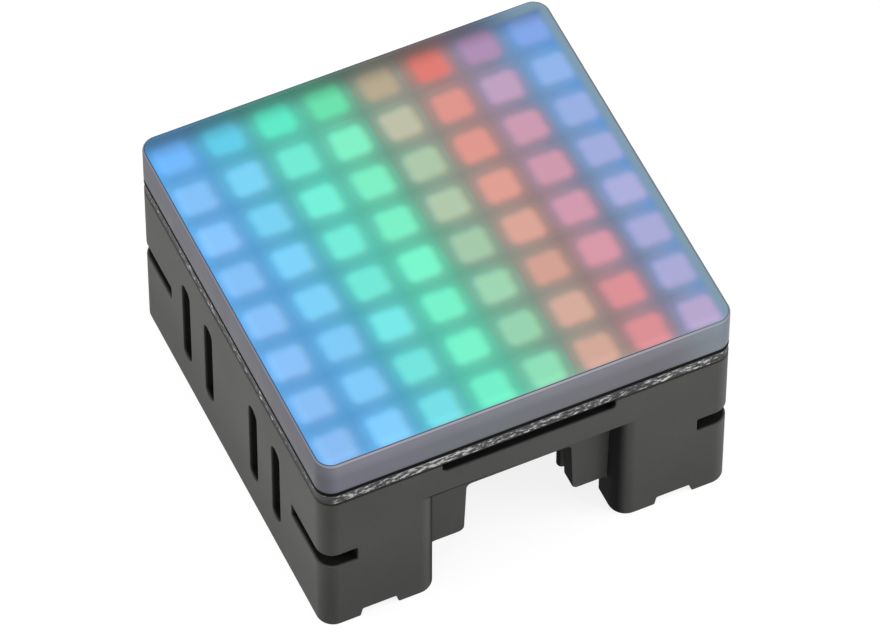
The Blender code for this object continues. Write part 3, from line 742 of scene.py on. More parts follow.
def smoked_acrylic_satin(look):
    """Smoked acrylic with satin sides: a cool grey with painted glow, as if faintly lit from inside, and
    painted light and shade along the thin dark top edge.
    """
    constants = {"IOR": 1.49, "Emission Strength": 1.0, "Specular IOR Level": 0.12}
    made, tree, shader = new_finish("smoked_acrylic_satin", constants)
    place = node(tree, "TexCoord", out="Object")
    height = node(tree, "SeparateXYZ", {0: place}, out="Z")
    ends = {"From Min": COVER_LOW.z, "From Max": COVER_HIGH.z, "To Min": 0, "To Max": 1}
    ramp = node(tree, "ValToRGB", {"Fac": node(tree, "MapRange", {"Value": height, **ends})})
    side = stops(ramp, [(at, scaled_colour(look.side_colour, factor)) for at, factor in SATIN_LIGHT_LEVELS])
    clouds = node(tree, "TexNoise", {"Vector": place, "Scale": 1 / (4 * MM), "Detail": 3.0})
    rough = node(tree, "MapRange", {"Value": clouds, "To Min": 0.32, "To Max": 0.5})
    # The sides' light and shade are painted: mostly as glow in the emission, and a tenth of it in the base
    # colour
    own = node(tree, "VectorMath", {0: side, "Scale": 0.1}, operation="SCALE")
    counted, _ = led_grid(tree, look)
    hue = rainbow(tree, along_rainbow(tree, counted, look, 0.5), FIELD_HUES)
    tinted = node(tree, "Mix", {0: 0.03, 6: side, 7: hue}, **COLOURS)
    # Painted light: over the last LED on the right the glow turns paler
    paler = node(tree, "Math", {0: near_right(tree, look, counted), 1: 0.42}, operation="MULTIPLY")
    lit = node(tree, "Mix", {0: paler, 6: tinted, 7: linear("#94a8b2")}, **COLOURS)
    uneven = node(tree, "MapRange", {"Value": clouds, "To Min": 0.7, "To Max": 0.86})
    # Painted shade: the sides that face left and right glow less
    painted_shade_factor = node(tree, "MapRange", {"Value": facing_sideways(tree), "To Min": 1, "To Max": 0.44})
    painted_dimming = node(tree, "Math", {0: uneven, 1: painted_shade_factor}, operation="MULTIPLY")
    glow = node(tree, "VectorMath", {0: lit, "Scale": painted_dimming}, operation="SCALE")
    # Through the polished top the far sides show their inner face, in the dimmed hue of the nearest LEDs
    dim = node(tree, "VectorMath", {0: hue, "Scale": 0.45}, operation="SCALE")
    within = node(tree, "NewGeometry", out="Backfacing")
    shown = node(tree, "Mix", {0: within, 6: glow, 7: with_rim(tree, look, counted, dim)}, **COLOURS)
    feed(shader, {"Roughness": rough, "Base Color": own, "Emission Color": shown})
    return made


def black_solder_mask(look):
    """Black lacquer screened over the board: nearly black, with the tracks under it just showing."""
    made, tree, shader = new_finish("black_solder_mask", {"IOR": 1.5})
    place = node(tree, "TexCoord", out="Object")
    cells = {"Vector": place, "Scale": 1 / (4.5 * MM)}
    fields = node(tree, "TexVoronoi", cells, out="Color", distance="CHEBYCHEV")
    # Tracks 0.3 mm wide, 0.6 mm apart, run one way in some fields and the other way in the rest
    bands = []
    for way in ("X", "Y"):
        waves = {"Vector": place, "Scale": 2 * pi / 20 / (0.6 * MM)}
        wave = node(tree, "TexWave", waves, out="Fac", bands_direction=way)
        bands.append(node(tree, "Math", {0: wave, 1: 0.5}, operation="GREATER_THAN"))
    lot = node(tree, "SeparateXYZ", {0: fields})
    chosen = node(tree, "Math", {0: lot, 1: 0.5}, operation="GREATER_THAN")
    tracks = node(tree, "Mix", {0: chosen, 2: bands[0], 3: bands[1]})
    dark, light = (scaled_colour(look.mask, factor) for factor in (0.8, 1.7))
    shade = node(tree, "Mix", {0: tracks, 6: dark, 7: light}, **COLOURS)
    weave = node(tree, "TexNoise", {"Vector": place, "Scale": 1 / (0.4 * MM), "Detail": 2.0})
    rough = node(tree, "MapRange", {"Value": weave, "To Min": 0.34, "To Max": 0.5})
    raised = node(tree, "Math", {0: weave, 1: 0.3, 2: tracks}, operation="MULTIPLY_ADD")
    bump = node(tree, "Bump", {"Height": raised, "Strength": 0.3, "Distance": 0.03 * MM})
    feed(shader, {"Base Color": shade, "Roughness": rough, "Normal": bump})
    return made


# Resin and torn fibre of the routed edge, from where nothing is torn to where most is
FIBRE_SHADES = ((0.0, "#0f0f0f"), (0.53, "#1f1f1f"), (0.6, "#606061"), (0.64, "#c3c4c4"), (0.69, "#fbfcfb"))


def routed_glass_fibre():
    """Glass fibre laminate cut with a router: streaks of torn pale fibre in nearly black resin."""
    made, tree, shader = new_finish("routed_glass_fibre", {"IOR": 1.52, "Roughness": 0.55})
    place = node(tree, "TexCoord", out="Object")
    # Fibre bundles lie along the edge, so the pattern is squeezed in height
    squeezed = node(tree, "VectorMath", {0: place, 1: (1, 1, 2.2)}, operation="MULTIPLY")
    bundles = {"Vector": squeezed, "Scale": 1 / (0.8 * MM), "Detail": 5.0, "Roughness": 0.64}
    tufts = node(tree, "TexNoise", bundles)
    patches = node(tree, "TexNoise", {"Vector": place, "Scale": 1 / (3.5 * MM), "Detail": 1.0})
    height = node(tree, "SeparateXYZ", {0: place}, out="Z")
    off = node(tree, "Math", {0: height, 1: BOARD_MIDDLE}, operation="SUBTRACT")
    away = node(tree, "Math", {0: off}, operation="ABSOLUTE")
    half = BOARD_THICKNESS / 2
    band = node(tree, "MapRange", {"Value": away, "From Min": half, "From Max": half * 0.86})
    torn = node(tree, "Math", {0: patches, 1: 0.2, 2: tufts}, operation="MULTIPLY_ADD")
    # On the left and right less of the fibre shows, so those edges are darker
    torn = node(tree, "Math", {0: facing_sideways(tree), 1: -0.075, 2: torn}, operation="MULTIPLY_ADD")
    # Round the corners the cutter ran clean
    x, y, _ = node(tree, "SeparateXYZ", {0: node(tree, "NewGeometry", out="Normal")}).node.outputs
    round_way = node(tree, "Math", {0: x, 1: y}, operation="MULTIPLY")
    corner = node(tree, "Math", {0: round_way}, operation="ABSOLUTE")
    torn = node(tree, "Math", {0: corner, 1: -0.18, 2: torn}, operation="MULTIPLY_ADD")
    shown = node(tree, "Math", {0: torn, 1: band}, operation="MULTIPLY")
    ramp = node(tree, "ValToRGB", {"Fac": shown})
    tone = stops(ramp, [(at, linear(code)) for at, code in FIBRE_SHADES])
    bump = node(tree, "Bump", {"Height": shown, "Strength": 0.6, "Distance": 0.05 * MM})
    feed(shader, {"Base Color": tone, "Normal": bump})
    return made


def die_cut_foam_tape():
    """Die-cut black foam tape: sooty black, with open cells on its cut edge."""
    constants = {"IOR": 1.45, "Roughness": 0.95, "Specular IOR Level": 0.2}
    made, tree, shader = new_finish("die_cut_foam_tape", constants)
    place = node(tree, "TexCoord", out="Object")
    # Real cells are well under 0.1 mm wide, too fine for the render, so they are drawn coarser
    cells = node(tree, "TexVoronoi", {"Vector": place, "Scale": 1 / (0.12 * MM)})
    ramp = node(tree, "ValToRGB", {"Fac": cells})
    tone = stops(ramp, [(0.0, linear("#060606")), (0.8, linear("#191919"))])
    bump = node(tree, "Bump", {"Height": cells, "Strength": 0.6, "Distance": 0.04 * MM})
    feed(shader, {"Base Color": tone, "Normal": bump})
    return made


def worked_metal(name, code, rough_range, grain, depth):
    """Bare metal with fine working marks: its roughness and its surface vary with the marks.

    Real marks are a few hundredths of a millimetre wide, so each metal has them drawn coarser.
    """
    made, tree, shader = new_finish(name, {"Metallic": 1.0})
    place = node(tree, "TexCoord", out="Object")
    marks = node(tree, "TexNoise", {"Vector": place, "Scale": 1 / grain, "Detail": 3.0})
    dark, light = (scaled_colour(linear(code), factor) for factor in (0.82, 1.1))
    tone = node(tree, "Mix", {0: marks, 6: dark, 7: light}, **COLOURS)
    rough = node(tree, "MapRange", {"Value": marks, "To Min": rough_range[0], "To Max": rough_range[1]})
    bump = node(tree, "Bump", {"Height": marks, "Strength": 0.3, "Distance": depth})
    feed(shader, {"Base Color": tone, "Roughness": rough, "Normal": bump})
    return made


def zinc_plated_steel():
    """Steel with bright zinc plate: a slightly blue white metal, satin from the cold-formed blank."""
    return worked_metal("zinc_plated_steel", "#c3c7cc", (0.24, 0.42), 0.25 * MM, 0.006 * MM)


def turned_brass_tin_plate():
    """Turned brass with a tin plate: a warm pale metal with a soft sheen."""
    return worked_metal("turned_brass_tin_plate", "#d2ccb9", (0.26, 0.4), 0.18 * MM, 0.004 * MM)


def reflowed_solder():
    """Solder from a reflow oven: bright, uneven grey metal, dull where it froze last."""
    return worked_metal("reflowed_solder", "#c4c5c8", (0.18, 0.45), 0.35 * MM, 0.02 * MM)


def drawn_aluminium_can():
    """Deep-drawn aluminium can: satin, with a dark printed polarity mark on its end."""
    made, tree, shader = new_finish("drawn_aluminium_can", {"Metallic": 1.0})
    place = node(tree, "TexCoord", out="Object")
    x, _, z = node(tree, "SeparateXYZ", {0: place}).node.outputs
    mark_start = (CAN_LOW.x + CAN_HIGH.x) / 2 + 0.9 * MM
    outward = node(tree, "Math", {0: x}, operation="ABSOLUTE")
    marked = node(tree, "Math", {0: outward, 1: mark_start}, operation="GREATER_THAN")
    end = node(tree, "Math", {0: z, 1: CAN_LOW.z + 0.05 * MM}, operation="LESS_THAN")
    printed = node(tree, "Math", {0: marked, 1: end}, operation="MULTIPLY")
    # The marks run along the can, and are drawn coarser than real ones, which the render can't show
    draw = node(tree, "VectorMath", {0: place, 1: (1, 1, 0.08)}, operation="MULTIPLY")
    marks = node(tree, "TexNoise", {"Vector": draw, "Scale": 1 / (0.12 * MM), "Detail": 2.0})
    ramp = node(tree, "ValToRGB", {"Fac": printed})
    tone = stops(ramp, [(0.0, linear("#c9cbce")), (1.0, linear("#26272b"))])
    rough = node(tree, "MapRange", {"Value": marks, "To Min": 0.28, "To Max": 0.46})
    feed(shader, {"Base Color": tone, "Roughness": rough})
    return made


def speckled(name, ior, grain, shades, rough_range, steps=(0.33, 0.72), detail=3.0):
    """A filled material: two close shades in fine specks, and a roughness that follows them.

    Specks under 0.3 mm stand for finer real ones, which the render can't show.
    """
    made, tree, shader = new_finish(name, {"IOR": ior})
    place = node(tree, "TexCoord", out="Object")
    filler = node(tree, "TexNoise", {"Vector": place, "Scale": 1 / grain, "Detail": detail})
    ramp = node(tree, "ValToRGB", {"Fac": filler})
    tone = stops(ramp, [(at, linear(code)) for at, code in zip(steps, shades)])
    rough = node(tree, "MapRange", {"Value": filler, "To Min": rough_range[0], "To Max": rough_range[1]})
    feed(shader, {"Base Color": tone, "Roughness": rough})
    return made


def moulded_abs_white():
    """White ABS moulded for the light grid: bright, matte and opaque, with a faint flow pattern."""
    shades = ("#e6e6e3", "#f1f1ef")
    return speckled("moulded_abs_white", 1.54, 3 * MM, shades, (0.45, 0.6), steps=(0.3, 0.7))


def moulded_nylon_natural():
    """Natural nylon moulded with glass filler: creamy white, faintly mottled, semi-matte."""
    shades = ("#dcd6c4", "#ece7d8")
    return speckled("moulded_nylon_natural", 1.53, 0.6 * MM, shades, (0.38, 0.55), (0.3, 0.7), 4.0)


def moulded_black_resin():
    """Black resin moulded round chips and under cans: matte black with a faint dust of filler."""
    return speckled("moulded_black_resin", 1.55, 0.2 * MM, ("#151516", "#26262a"), (0.45, 0.62))


def fired_ceramic():
    """Fired ceramic of the chip capacitors: dull brown with darker grains."""
    return speckled("fired_ceramic", 1.7, 0.15 * MM, ("#6f5842", "#957a5f"), (0.45, 0.6))


def screened_white_ink():
    """White ink screened on the board: flat white, a little uneven."""
    return speckled("screened_white_ink", 1.5, 0.1 * MM, ("#d2d3d2", "#ececea"), (0.55, 0.7))


def white_reflector_nylon():
    """White heat-proof nylon of the LED packages: bright and matte, to throw the light up."""
    return speckled("white_reflector_nylon", 1.53, 0.5 * MM, ("#e2e3e2", "#f0f0ee"), (0.45, 0.55))


def clear_silicone_lit(look):
    """Clear silicone over the dies, filled with their light: each cup glows in its own hue."""
    constants = {"IOR": 1.41, "Roughness": 0.15, "Emission Strength": 1.0}
    made, tree, shader = new_finish("clear_silicone_lit", {"Base Color": linear("#d8d8d4"), **constants})
    _, cell = led_grid(tree, look)
    feed(shader, {"Emission Color": rainbow(tree, along_rainbow(tree, cell, look, 0.0), SPOT_HUES)})
    return made


class DISPLAY_OT_stage(bpy.types.Operator):
    """Add the pale floor, the soft lamps, the white surroundings and the camera"""

    bl_idname = "display_module.stage"
    bl_label = "Stage"

    def execute(self, context):
        look = settings().stage
        context.scene.view_settings.view_transform = "Standard"
        make_floor(look)
        make_surroundings(look)
        make_lamps(look)
        make_camera(look)
        return {"FINISHED"}


def seen_directly(tree):
    """1 for what the camera sees straight on, in a reflection or through glass, else 0."""
    paths = node(tree, "LightPath").node.outputs
    seen = paths["Is Camera Ray"]
    for other in ("Is Glossy Ray", "Is Transmission Ray"):
        seen = node(tree, "Math", {0: seen, 1: paths[other]}, operation="MAXIMUM")
    return seen


# The floor's side in metres, how much of it is lifted to white where it is seen, and that white's level
FLOOR_SIZE = 6
WHITE_SHARE = 0.68
WHITE_LEVEL = 1.24


def make_floor(look):
    """A pale floor. Seen straight on it is lifted to white, and keeps a soft shadow."""
    bpy.ops.object.select_all(action="DESELECT")
    bpy.ops.mesh.primitive_plane_add(size=FLOOR_SIZE, location=(0, 0, BASE_LOW.z))
    floor = name_piece("studio_floor")
    made, tree, shader = new_finish("studio_paper", {"Roughness": 0.9})
    seen = seen_directly(tree)
    # The paper throws less light back than it shows, so that the module's lower edge stays dark
    thrown = scaled_colour(look.floor_colour, look.bounce)
    paper = node(tree, "Mix", {0: seen, 6: thrown, 7: tuple(look.floor_colour)}, **COLOURS)
    feed(shader, {"Base Color": paper})
    lift = node(tree, "Math", {0: seen, 1: WHITE_SHARE}, operation="MULTIPLY")
    white = node(tree, "Emission", {"Color": (1, 1, 1, 1), "Strength": WHITE_LEVEL})
    mix = node(tree, "MixShader", {0: lift, 1: shader.outputs[0], 2: white})
    feed(tree.nodes["Material Output"], {"Surface": mix})
    dress(floor, made)


def make_surroundings(look):
    """White to the eye and in reflections, and a dimmer even light on everything else."""
    world = bpy.data.worlds.new("studio_white")
    bpy.context.scene.world = world
    world.use_nodes = True
    tree = world.node_tree
    ends = {"To Min": look.ambient, "To Max": 1.0}
    level = node(tree, "MapRange", {"Value": seen_directly(tree), **ends})
    background = tree.nodes["Background"]
    background.inputs["Color"].default_value = (1, 1, 1, 1)
    feed(background, {"Strength": level})


def make_lamps(look):
    """Three soft boxes: a key behind on the left, a small near fill at the front right, one overhead."""
    lamps = (
        ("key_lamp", (-0.55, 0.30, 0.33), 0.5, look.key),
        ("fill_lamp", (0.13, -0.10, 0.09), 0.1, look.fill),
        ("top_lamp", (-0.1, -0.05, 0.75), 0.5, look.top),
    )
    for name, spot, size, power in lamps:
        bpy.ops.object.light_add(type="AREA", location=spot)
        lamp = bpy.context.object
        lamp.name = lamp.data.name = name
        lamp.data.size = size
        lamp.data.energy = power
        lamp.rotation_euler = (-Vector(spot)).to_track_quat("-Z", "Y").to_euler()


def make_camera(look):
    """The photograph's pinhole view."""
    flat = cos(look.elevation)
    back = Vector((sin(look.azimuth) * flat, -cos(look.azimuth) * flat, sin(look.elevation)))
    level = (-back).cross(UP).normalized()
    above = level.cross(-back)
    right = cos(look.roll) * level + sin(look.roll) * above
    top = cos(look.roll) * above - sin(look.roll) * level
    aim = Vector((0, 0, look.aim_height)) + right * look.aim_right + top * look.aim_up
    bpy.ops.object.camera_add()
    camera = bpy.context.object
    camera.name = camera.data.name = "portrait_camera"
    camera.data.lens = look.lens
    camera.data.sensor_width = 36
    camera.data.clip_start = 0.05
    camera.data.clip_end = 20
    turn = Matrix((right, top, back)).transposed().to_4x4()
    camera.matrix_world = Matrix.Translation(aim + back * look.distance) @ turn
    bpy.context.scene.camera = camera


class DISPLAY_OT_base(bpy.types.Operator):
    """Model the moulded base with softened edges"""

    bl_idname = "display_module.base"
    bl_label = "Base"

    def execute(self, context):
        look = settings().base
        base = copy_of_node("base_housing", "moulded_base")
        soften(base, look.edge)
        keep_inside(base, BASE_LOW, BASE_HIGH)
        seat(dress(base, finish(moulded_abs_spark_grain, look)), ["base_housing"])
        return {"FINISHED"}


class DISPLAY_OT_board(bpy.types.Operator):
    """Model the LED board: its plate with a torn routed edge, and the LED packages on it"""

    bl_idname = "display_module.board"
    bl_label = "LED board"

    def execute(self, context):
        look = settings().board
        plate = make_plate(look, settings().cover.corner_radius)
        dress(plate, finish(black_solder_mask, look), finish(routed_glass_fibre))
        paint(plate, 1, lambda face: abs(face.normal.z) < 0.7)
        seat(plate, ["led_board"])
        make_leds(look, settings().cover)
        return {"FINISHED"}


def make_plate(look, radius):
    """Board with round corners, whose edge is cut finely and torn along the middle of its height."""
    plate = box_piece("board_plate", BOARD_LOW, (LED_HIGH.x, LED_HIGH.y, BOARD_TOP))
    plate_side = LED_HIGH.x - BOARD_LOW.x
    edit(plate)
    pick(plate, "EDGE", upright)
    arc_steps = round(radius * pi / 2 / look.edge_step)
    bpy.ops.mesh.bevel(offset=radius, segments=arc_steps, profile=0.5, affect="EDGES")
    pick(plate, "EDGE", lambda edge: edge.calc_length() > plate_side / 2)
    bpy.ops.mesh.subdivide(number_cuts=round((plate_side - 2 * radius) / look.edge_step))
    pick(plate, "EDGE", lambda edge: upright(edge) and edge.calc_length() > BOARD_THICKNESS / 2)
    bpy.ops.mesh.subdivide(number_cuts=look.edge_rows - 1)
    close()
    tufts = bpy.data.textures.new("torn_fibres", "CLOUDS")
    tufts.noise_scale = 0.3 * MM
    tufts.noise_depth = 3
    inner = plate.vertex_groups.new(name="torn")
    reach = BOARD_THICKNESS * 0.4
    inner.add([v.index for v in plate.data.vertices if abs(v.co.z - BOARD_MIDDLE) < reach], 1, "REPLACE")
    apply_modifier(
        plate, "DISPLACE", texture=tufts, vertex_group="torn", strength=look.edge_bite, mid_level=1.0
    )
    plate.vertex_groups.clear()
    smooth(plate, 50)
    return plate


def make_leds(look, cover):
    """One package with its round cup, dies and chamfered corner, copied over the grid."""
    first = -(cover.count - 1) / 2 * cover.pitch
    half = look.led_side / 2
    top = BOARD_TOP + look.led_height
    chamfer = half * 0.35
    cup_radius = half * 0.79
    cup_floor_radius = cup_radius * 0.85
    cup_depth = look.led_height / 3
    die_ring, die = cup_radius * 0.4, 0.12 * MM
    package = box_piece("led_package", (-half, -half, BOARD_TOP), (half, half, top))
    edit(package)
    pick(package, "EDGE", lambda edge: upright(edge) and min(edge.verts[0].co.xy) > 0)
    bpy.ops.mesh.bevel(offset=chamfer, segments=1, affect="EDGES")
    close()
    bottom, over = top - cup_depth, top + cup_depth
    profile = ((0, bottom), (cup_floor_radius, bottom), (cup_radius, top), (cup_radius, over), (0, over))
    cut_with(package, turned_piece("cup", (0, 0), profile, 16))
    dies = [package]
    for turn in range(3):
        way = turn * 2 * pi / 3
        low = Vector((-die, -die, bottom)) + Vector((cos(way), sin(way), 0)) * die_ring
        dies.append(box_piece("die", low, low + Vector((2 * die, 2 * die, die))))
    leds = join("led_packages", dies)
    edit(leds)
    bpy.ops.transform.translate(value=(first, first, 0))
    close()
    repeat(leds, cover.count, (cover.pitch, 0, 0))
    repeat(leds, cover.count, (0, cover.pitch, 0))
    dress(leds, finish(white_reflector_nylon), finish(clear_silicone_lit, cover))
    paint(leds, 1, lambda face: bottom - TOLERANCE < face.center.z < top - cup_depth / 3)
    seat(leds)


class DISPLAY_OT_gasket(bpy.types.Operator):
    """Finish the foam frame and the white light grid between the board and the cover"""

    bl_idname = "display_module.gasket"
    bl_label = "Gasket and light grid"

    def execute(self, context):
        dress(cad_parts["gasket_frame"], finish(die_cut_foam_tape))
        dress(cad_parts["light_grid"], finish(moulded_abs_white))
        return {"FINISHED"}


class DISPLAY_OT_cover(bpy.types.Operator):
    """Model the smoked diffuser cover, with the frosted face that the LEDs light"""

    bl_idname = "display_module.cover"
    bl_label = "Diffuser cover"

    def execute(self, context):
        look = settings().cover
        cover = make_cover(look)
        dress(
            cover,
            finish(smoked_acrylic_satin, look),
            finish(smoked_acrylic_polished),
            finish(frosted_acrylic_lit, look),
        )
        ceiling = COVER_HIGH.z - look.ceiling
        paint(cover, 1, lambda face: face.normal.z > 0.99 and face.center.z > COVER_HIGH.z - TOLERANCE)
        paint(cover, 2, lambda face: face.normal.z < -0.99 and abs(face.center.z - ceiling) < TOLERANCE)
        seat(cover, ["diffuser_cover"])
        return {"FINISHED"}


def make_cover(look):
    """A tray upside down, in two closed parts: the clear plate, and the skirt round the light grid."""
    ceiling = COVER_HIGH.z - look.ceiling
    joint = 0.01 * MM
    plate = box_piece("smoked_cover", (COVER_LOW.x, COVER_LOW.y, ceiling), COVER_HIGH)
    edit(plate)
    pick(plate, "EDGE", upright)
    bpy.ops.mesh.bevel(offset=look.corner_radius, segments=12, profile=0.5, affect="EDGES")
    pick(plate, "EDGE", rim_at(COVER_HIGH.z))
    bpy.ops.mesh.bevel(offset=look.edge_radius, segments=4, profile=0.5, affect="EDGES")
    close()
    top = (COVER_HIGH.x, COVER_HIGH.y, ceiling - joint)
    skirt = frame_piece("skirt", COVER_LOW, top, look.skirt, look.corner_radius, 12)
    edit(skirt)
    foot = rim_at(COVER_LOW.z)
    inner = COVER_HIGH.x - look.skirt

    def outer_foot(edge):
        """True for an edge of the foot that lies outside the skirt's inner face."""
        reach = max(max(abs(v.co.x), abs(v.co.y)) for v in edge.verts)
        return foot(edge) and reach > inner + TOLERANCE

    pick(skirt, "EDGE", outer_foot)
    bpy.ops.mesh.bevel(offset=look.foot_radius, segments=3, profile=0.5, affect="EDGES")
    close()
    cover = join("smoked_cover", [plate, skirt])
    smooth(cover)
    return cover


class DISPLAY_OT_fixings(bpy.types.Operator):
    """Model the screws and the soldered threaded spacers that hold the board"""

    bl_idname = "display_module.fixings"
    bl_label = "Screws and spacers"

    def execute(self, context):
        look = settings().parts
        start = middle_of("board_screw_1")
        screw = make_screw(look, start)
        spacer = make_spacer(start)
        for number in range(1, 5):
            step = middle_of(f"board_screw_{number}") - start
            for piece, name, slot, solid in (
                (screw, "pan_head_screw", "plated_steel", "board_screw"),
                (spacer, "threaded_spacer", "tinned_brass", "board_spacer"),
            ):
                own = copied(piece, f"{name}_{number}", step)
                smooth(own, 40)
                seat(own, [f"{solid}_{number}"])
        for pattern in (screw, spacer):
            bpy.data.objects.remove(pattern, do_unlink=True)
        return {"FINISHED"}


def make_screw(look, centre):
    """Pan-head screw, head down: a turned blank with a cross recess and a rolled thread."""
    low, high = SCREW_LOW.z, SCREW_HIGH.z
    head = (SCREW_HIGH.x - SCREW_LOW.x) / 2
    crest = 0.95 * MM
    root = crest - look.thread_depth * 0.9
    under_head = low + 1.5 * MM
    # The head's outline: shares of its radius, and heights in millimetres
    shape = (
        (0, 0), (0.5, 0.02), (0.74, 0.12), (0.9, 0.32),
        (0.98, 0.6), (1, 0.95), (0.97, 1.42), (0.92, 1.5),
    )
    profile = [(head * out, low + up * MM) for out, up in shape]
    profile += [(crest, under_head), (crest, under_head + 0.5 * MM), (root, under_head + 0.7 * MM)]
    profile += [(root, high - 0.3 * MM), (root - 0.25 * MM, high), (0, high)]
    screw = turned_piece("screw_pattern", centre, profile, 32)
    recess_reach, recess_half, recess_deep = MM, 0.27 * MM, 0.8 * MM
    blade_low = (centre.x - recess_reach, centre.y - recess_half, low - MM)
    blade_high = (centre.x + recess_reach, centre.y + recess_half, low + recess_deep)
    for quarter in (0, pi / 2):
        blade = box_piece("blade", blade_low, blade_high)
        edit(blade)
        pick(blade, "FACE", lambda face: face.normal.z > 0.9)
        bpy.ops.transform.resize(value=(0.35, 0.6, 1))
        bpy.ops.mesh.select_all(action="SELECT")
        bpy.ops.transform.rotate(value=quarter, orient_axis="Z", center_override=centre)
        close()
        cut_with(screw, blade)
    start, end = under_head + 0.9 * MM, high - 0.8 * MM
    turns = int((end - start) / look.thread_pitch)
    screw = join("screw_pattern", [screw, make_thread(look, centre, root, start, turns)])
    return dress(screw, finish(zinc_plated_steel))


def make_thread(look, centre, root, start, turns):
    """A closed tooth that winds round the blank, its foot sunk a little into it."""
    half = look.thread_pitch * 0.42
    sunk = root - 0.04 * MM
    foot = (sunk, start - half)
    tooth = line_piece("thread", [foot, (root + look.thread_depth, start), (sunk, start + half), foot])
    bpy.ops.mesh.remove_doubles(threshold=TOLERANCE)
    close()
    apply_modifier(
        tooth,
        "SCREW",
        angle=2 * pi,
        screw_offset=look.thread_pitch,
        iterations=turns,
        steps=16,
        render_steps=16,
        use_merge_vertices=False,
    )
    edit(tooth)
    bpy.ops.mesh.remove_doubles(threshold=TOLERANCE)
    bpy.ops.mesh.fill_holes(sides=3)
    tidy_faces()
    bpy.ops.transform.translate(value=centre)
    close()
    return tooth


def make_spacer(centre):
    """A turned threaded sleeve, and the ring of solder that holds it to the board."""
    outer = (SPACER_HIGH.x - SPACER_LOW.x) / 2
    bore, chamfer = 1.1 * MM, 0.2 * MM
    low, high = SPACER_LOW.z, SPACER_HIGH.z
    waist = 0.12 * MM
    groove = (low + high) / 2
    sleeve = (
        (bore, low + chamfer), (bore + chamfer, low), (outer - chamfer, low), (outer, low + chamfer),
        (outer, groove - 2 * waist), (outer - waist, groove - waist), (outer - waist, groove + waist),
        (outer, groove + 2 * waist), (outer, high), (bore, high), (bore, low + chamfer),
    )
    wetted = high - 0.3 * MM
    ring = (
        (outer - waist, wetted), (outer + 0.04 * MM, wetted), (outer + 0.12 * MM, high - 0.14 * MM),
        (outer + 0.28 * MM, high - 0.03 * MM), (outer + 0.5 * MM, UNDERSIDE),
        (outer - waist, UNDERSIDE), (outer - waist, wetted),
    )
    brass = dress(turned_piece("sleeve", centre, sleeve, 32), finish(turned_brass_tin_plate))
    solder = dress(turned_piece("solder", centre, ring, 32), finish(reflowed_solder))
    return join("spacer_pattern", [brass, solder])


class DISPLAY_OT_sockets(bpy.types.Operator):
    """Model the signal sockets, their pins and their soldered leads"""

    bl_idname = "display_module.sockets"
    bl_label = "Sockets"

    def execute(self, context):
        look = settings().parts
        for side in ("in", "out"):
            socket = copy_of_node(f"signal_{side}_socket", f"socket_{side}")
            soften(socket, 0.06 * MM)
            dress(socket, finish(moulded_nylon_natural))
            seat(socket, [f"signal_{side}_socket"])
            for number in range(1, 5):
                pin = copy_of_node(f"{side}_pin_{number}", f"contact_{side}_{number}")
                soften(pin, 0.04 * MM)
                dress(pin, finish(turned_brass_tin_plate))
                seat(pin, [f"{side}_pin_{number}"])
        seat(make_socket_leads(look))
        return {"FINISHED"}


def make_socket_leads(look):
    """Four tails behind each socket, bent down to the board and soldered."""
    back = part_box("signal_in_socket")[1].y
    first = -1.5 * look.pin_pitch
    half = 0.25 * MM
    tail_low = (first - half, back - 0.1 * MM, UNDERSIDE - 0.95 * MM)
    tail_high = (first + half, back + 0.12 * MM, UNDERSIDE - 0.7 * MM)
    tail = box_piece("tail", tail_low, tail_high)
    grow(
        tail,
        lambda face: face.normal.y > 0.9,
        ((0, 0.12 * MM, 0.06 * MM), (1, 1, 1)),
        ((0, 0.12 * MM, 0.5 * MM), (1, 1, 1)),
        ((0, 0.6 * MM, 0.06 * MM), (1, 1, 0.8)),
    )
    soften(tail, 0.03 * MM)
    dress(tail, finish(turned_brass_tin_plate))
    wedge = solder_wedge((first, back + 0.75 * MM), (0.5 * MM, 0.5 * MM), 0.22 * MM)
    tail = join("socket_leads", [tail, wedge])
    repeat(tail, 4, (look.pin_pitch, 0, 0))
    repeat(tail, 2, middle_of("signal_out_socket") - middle_of("signal_in_socket"))
    return tail


def solder_wedge(centre, reach, drop):
    """A pad of solder under the board, sloping up to what it holds."""
    low = (centre[0] - reach[0], centre[1] - reach[1], UNDERSIDE - 0.04 * MM)
    high = (centre[0] + reach[0], centre[1] + reach[1], UNDERSIDE)
    wedge = box_piece("solder", low, high)
    down = (0, 0, -drop / 2)
    grow(wedge, lambda face: face.normal.z < -0.9, (down, (0.72, 0.72, 1)), (down, (0.6, 0.6, 1)))
    soften(wedge, 0.05 * MM)
    return dress(wedge, finish(reflowed_solder))


class DISPLAY_OT_capacitors(bpy.types.Operator):
    """Model the two bulk capacitors: drawn cans on resin seats, with soldered tabs"""

    bl_idname = "display_module.capacitors"
    bl_label = "Capacitors"

    def execute(self, context):
        start = middle_of("bulk_capacitor_1")
        pattern = make_capacitor(start)
        for number in (1, 2):
            name = f"bulk_capacitor_{number}"
            can = copied(pattern, f"can_{number}", middle_of(name) - start)
            smooth(can)
            seat(can, [name])
        bpy.data.objects.remove(pattern, do_unlink=True)
        return {"FINISHED"}


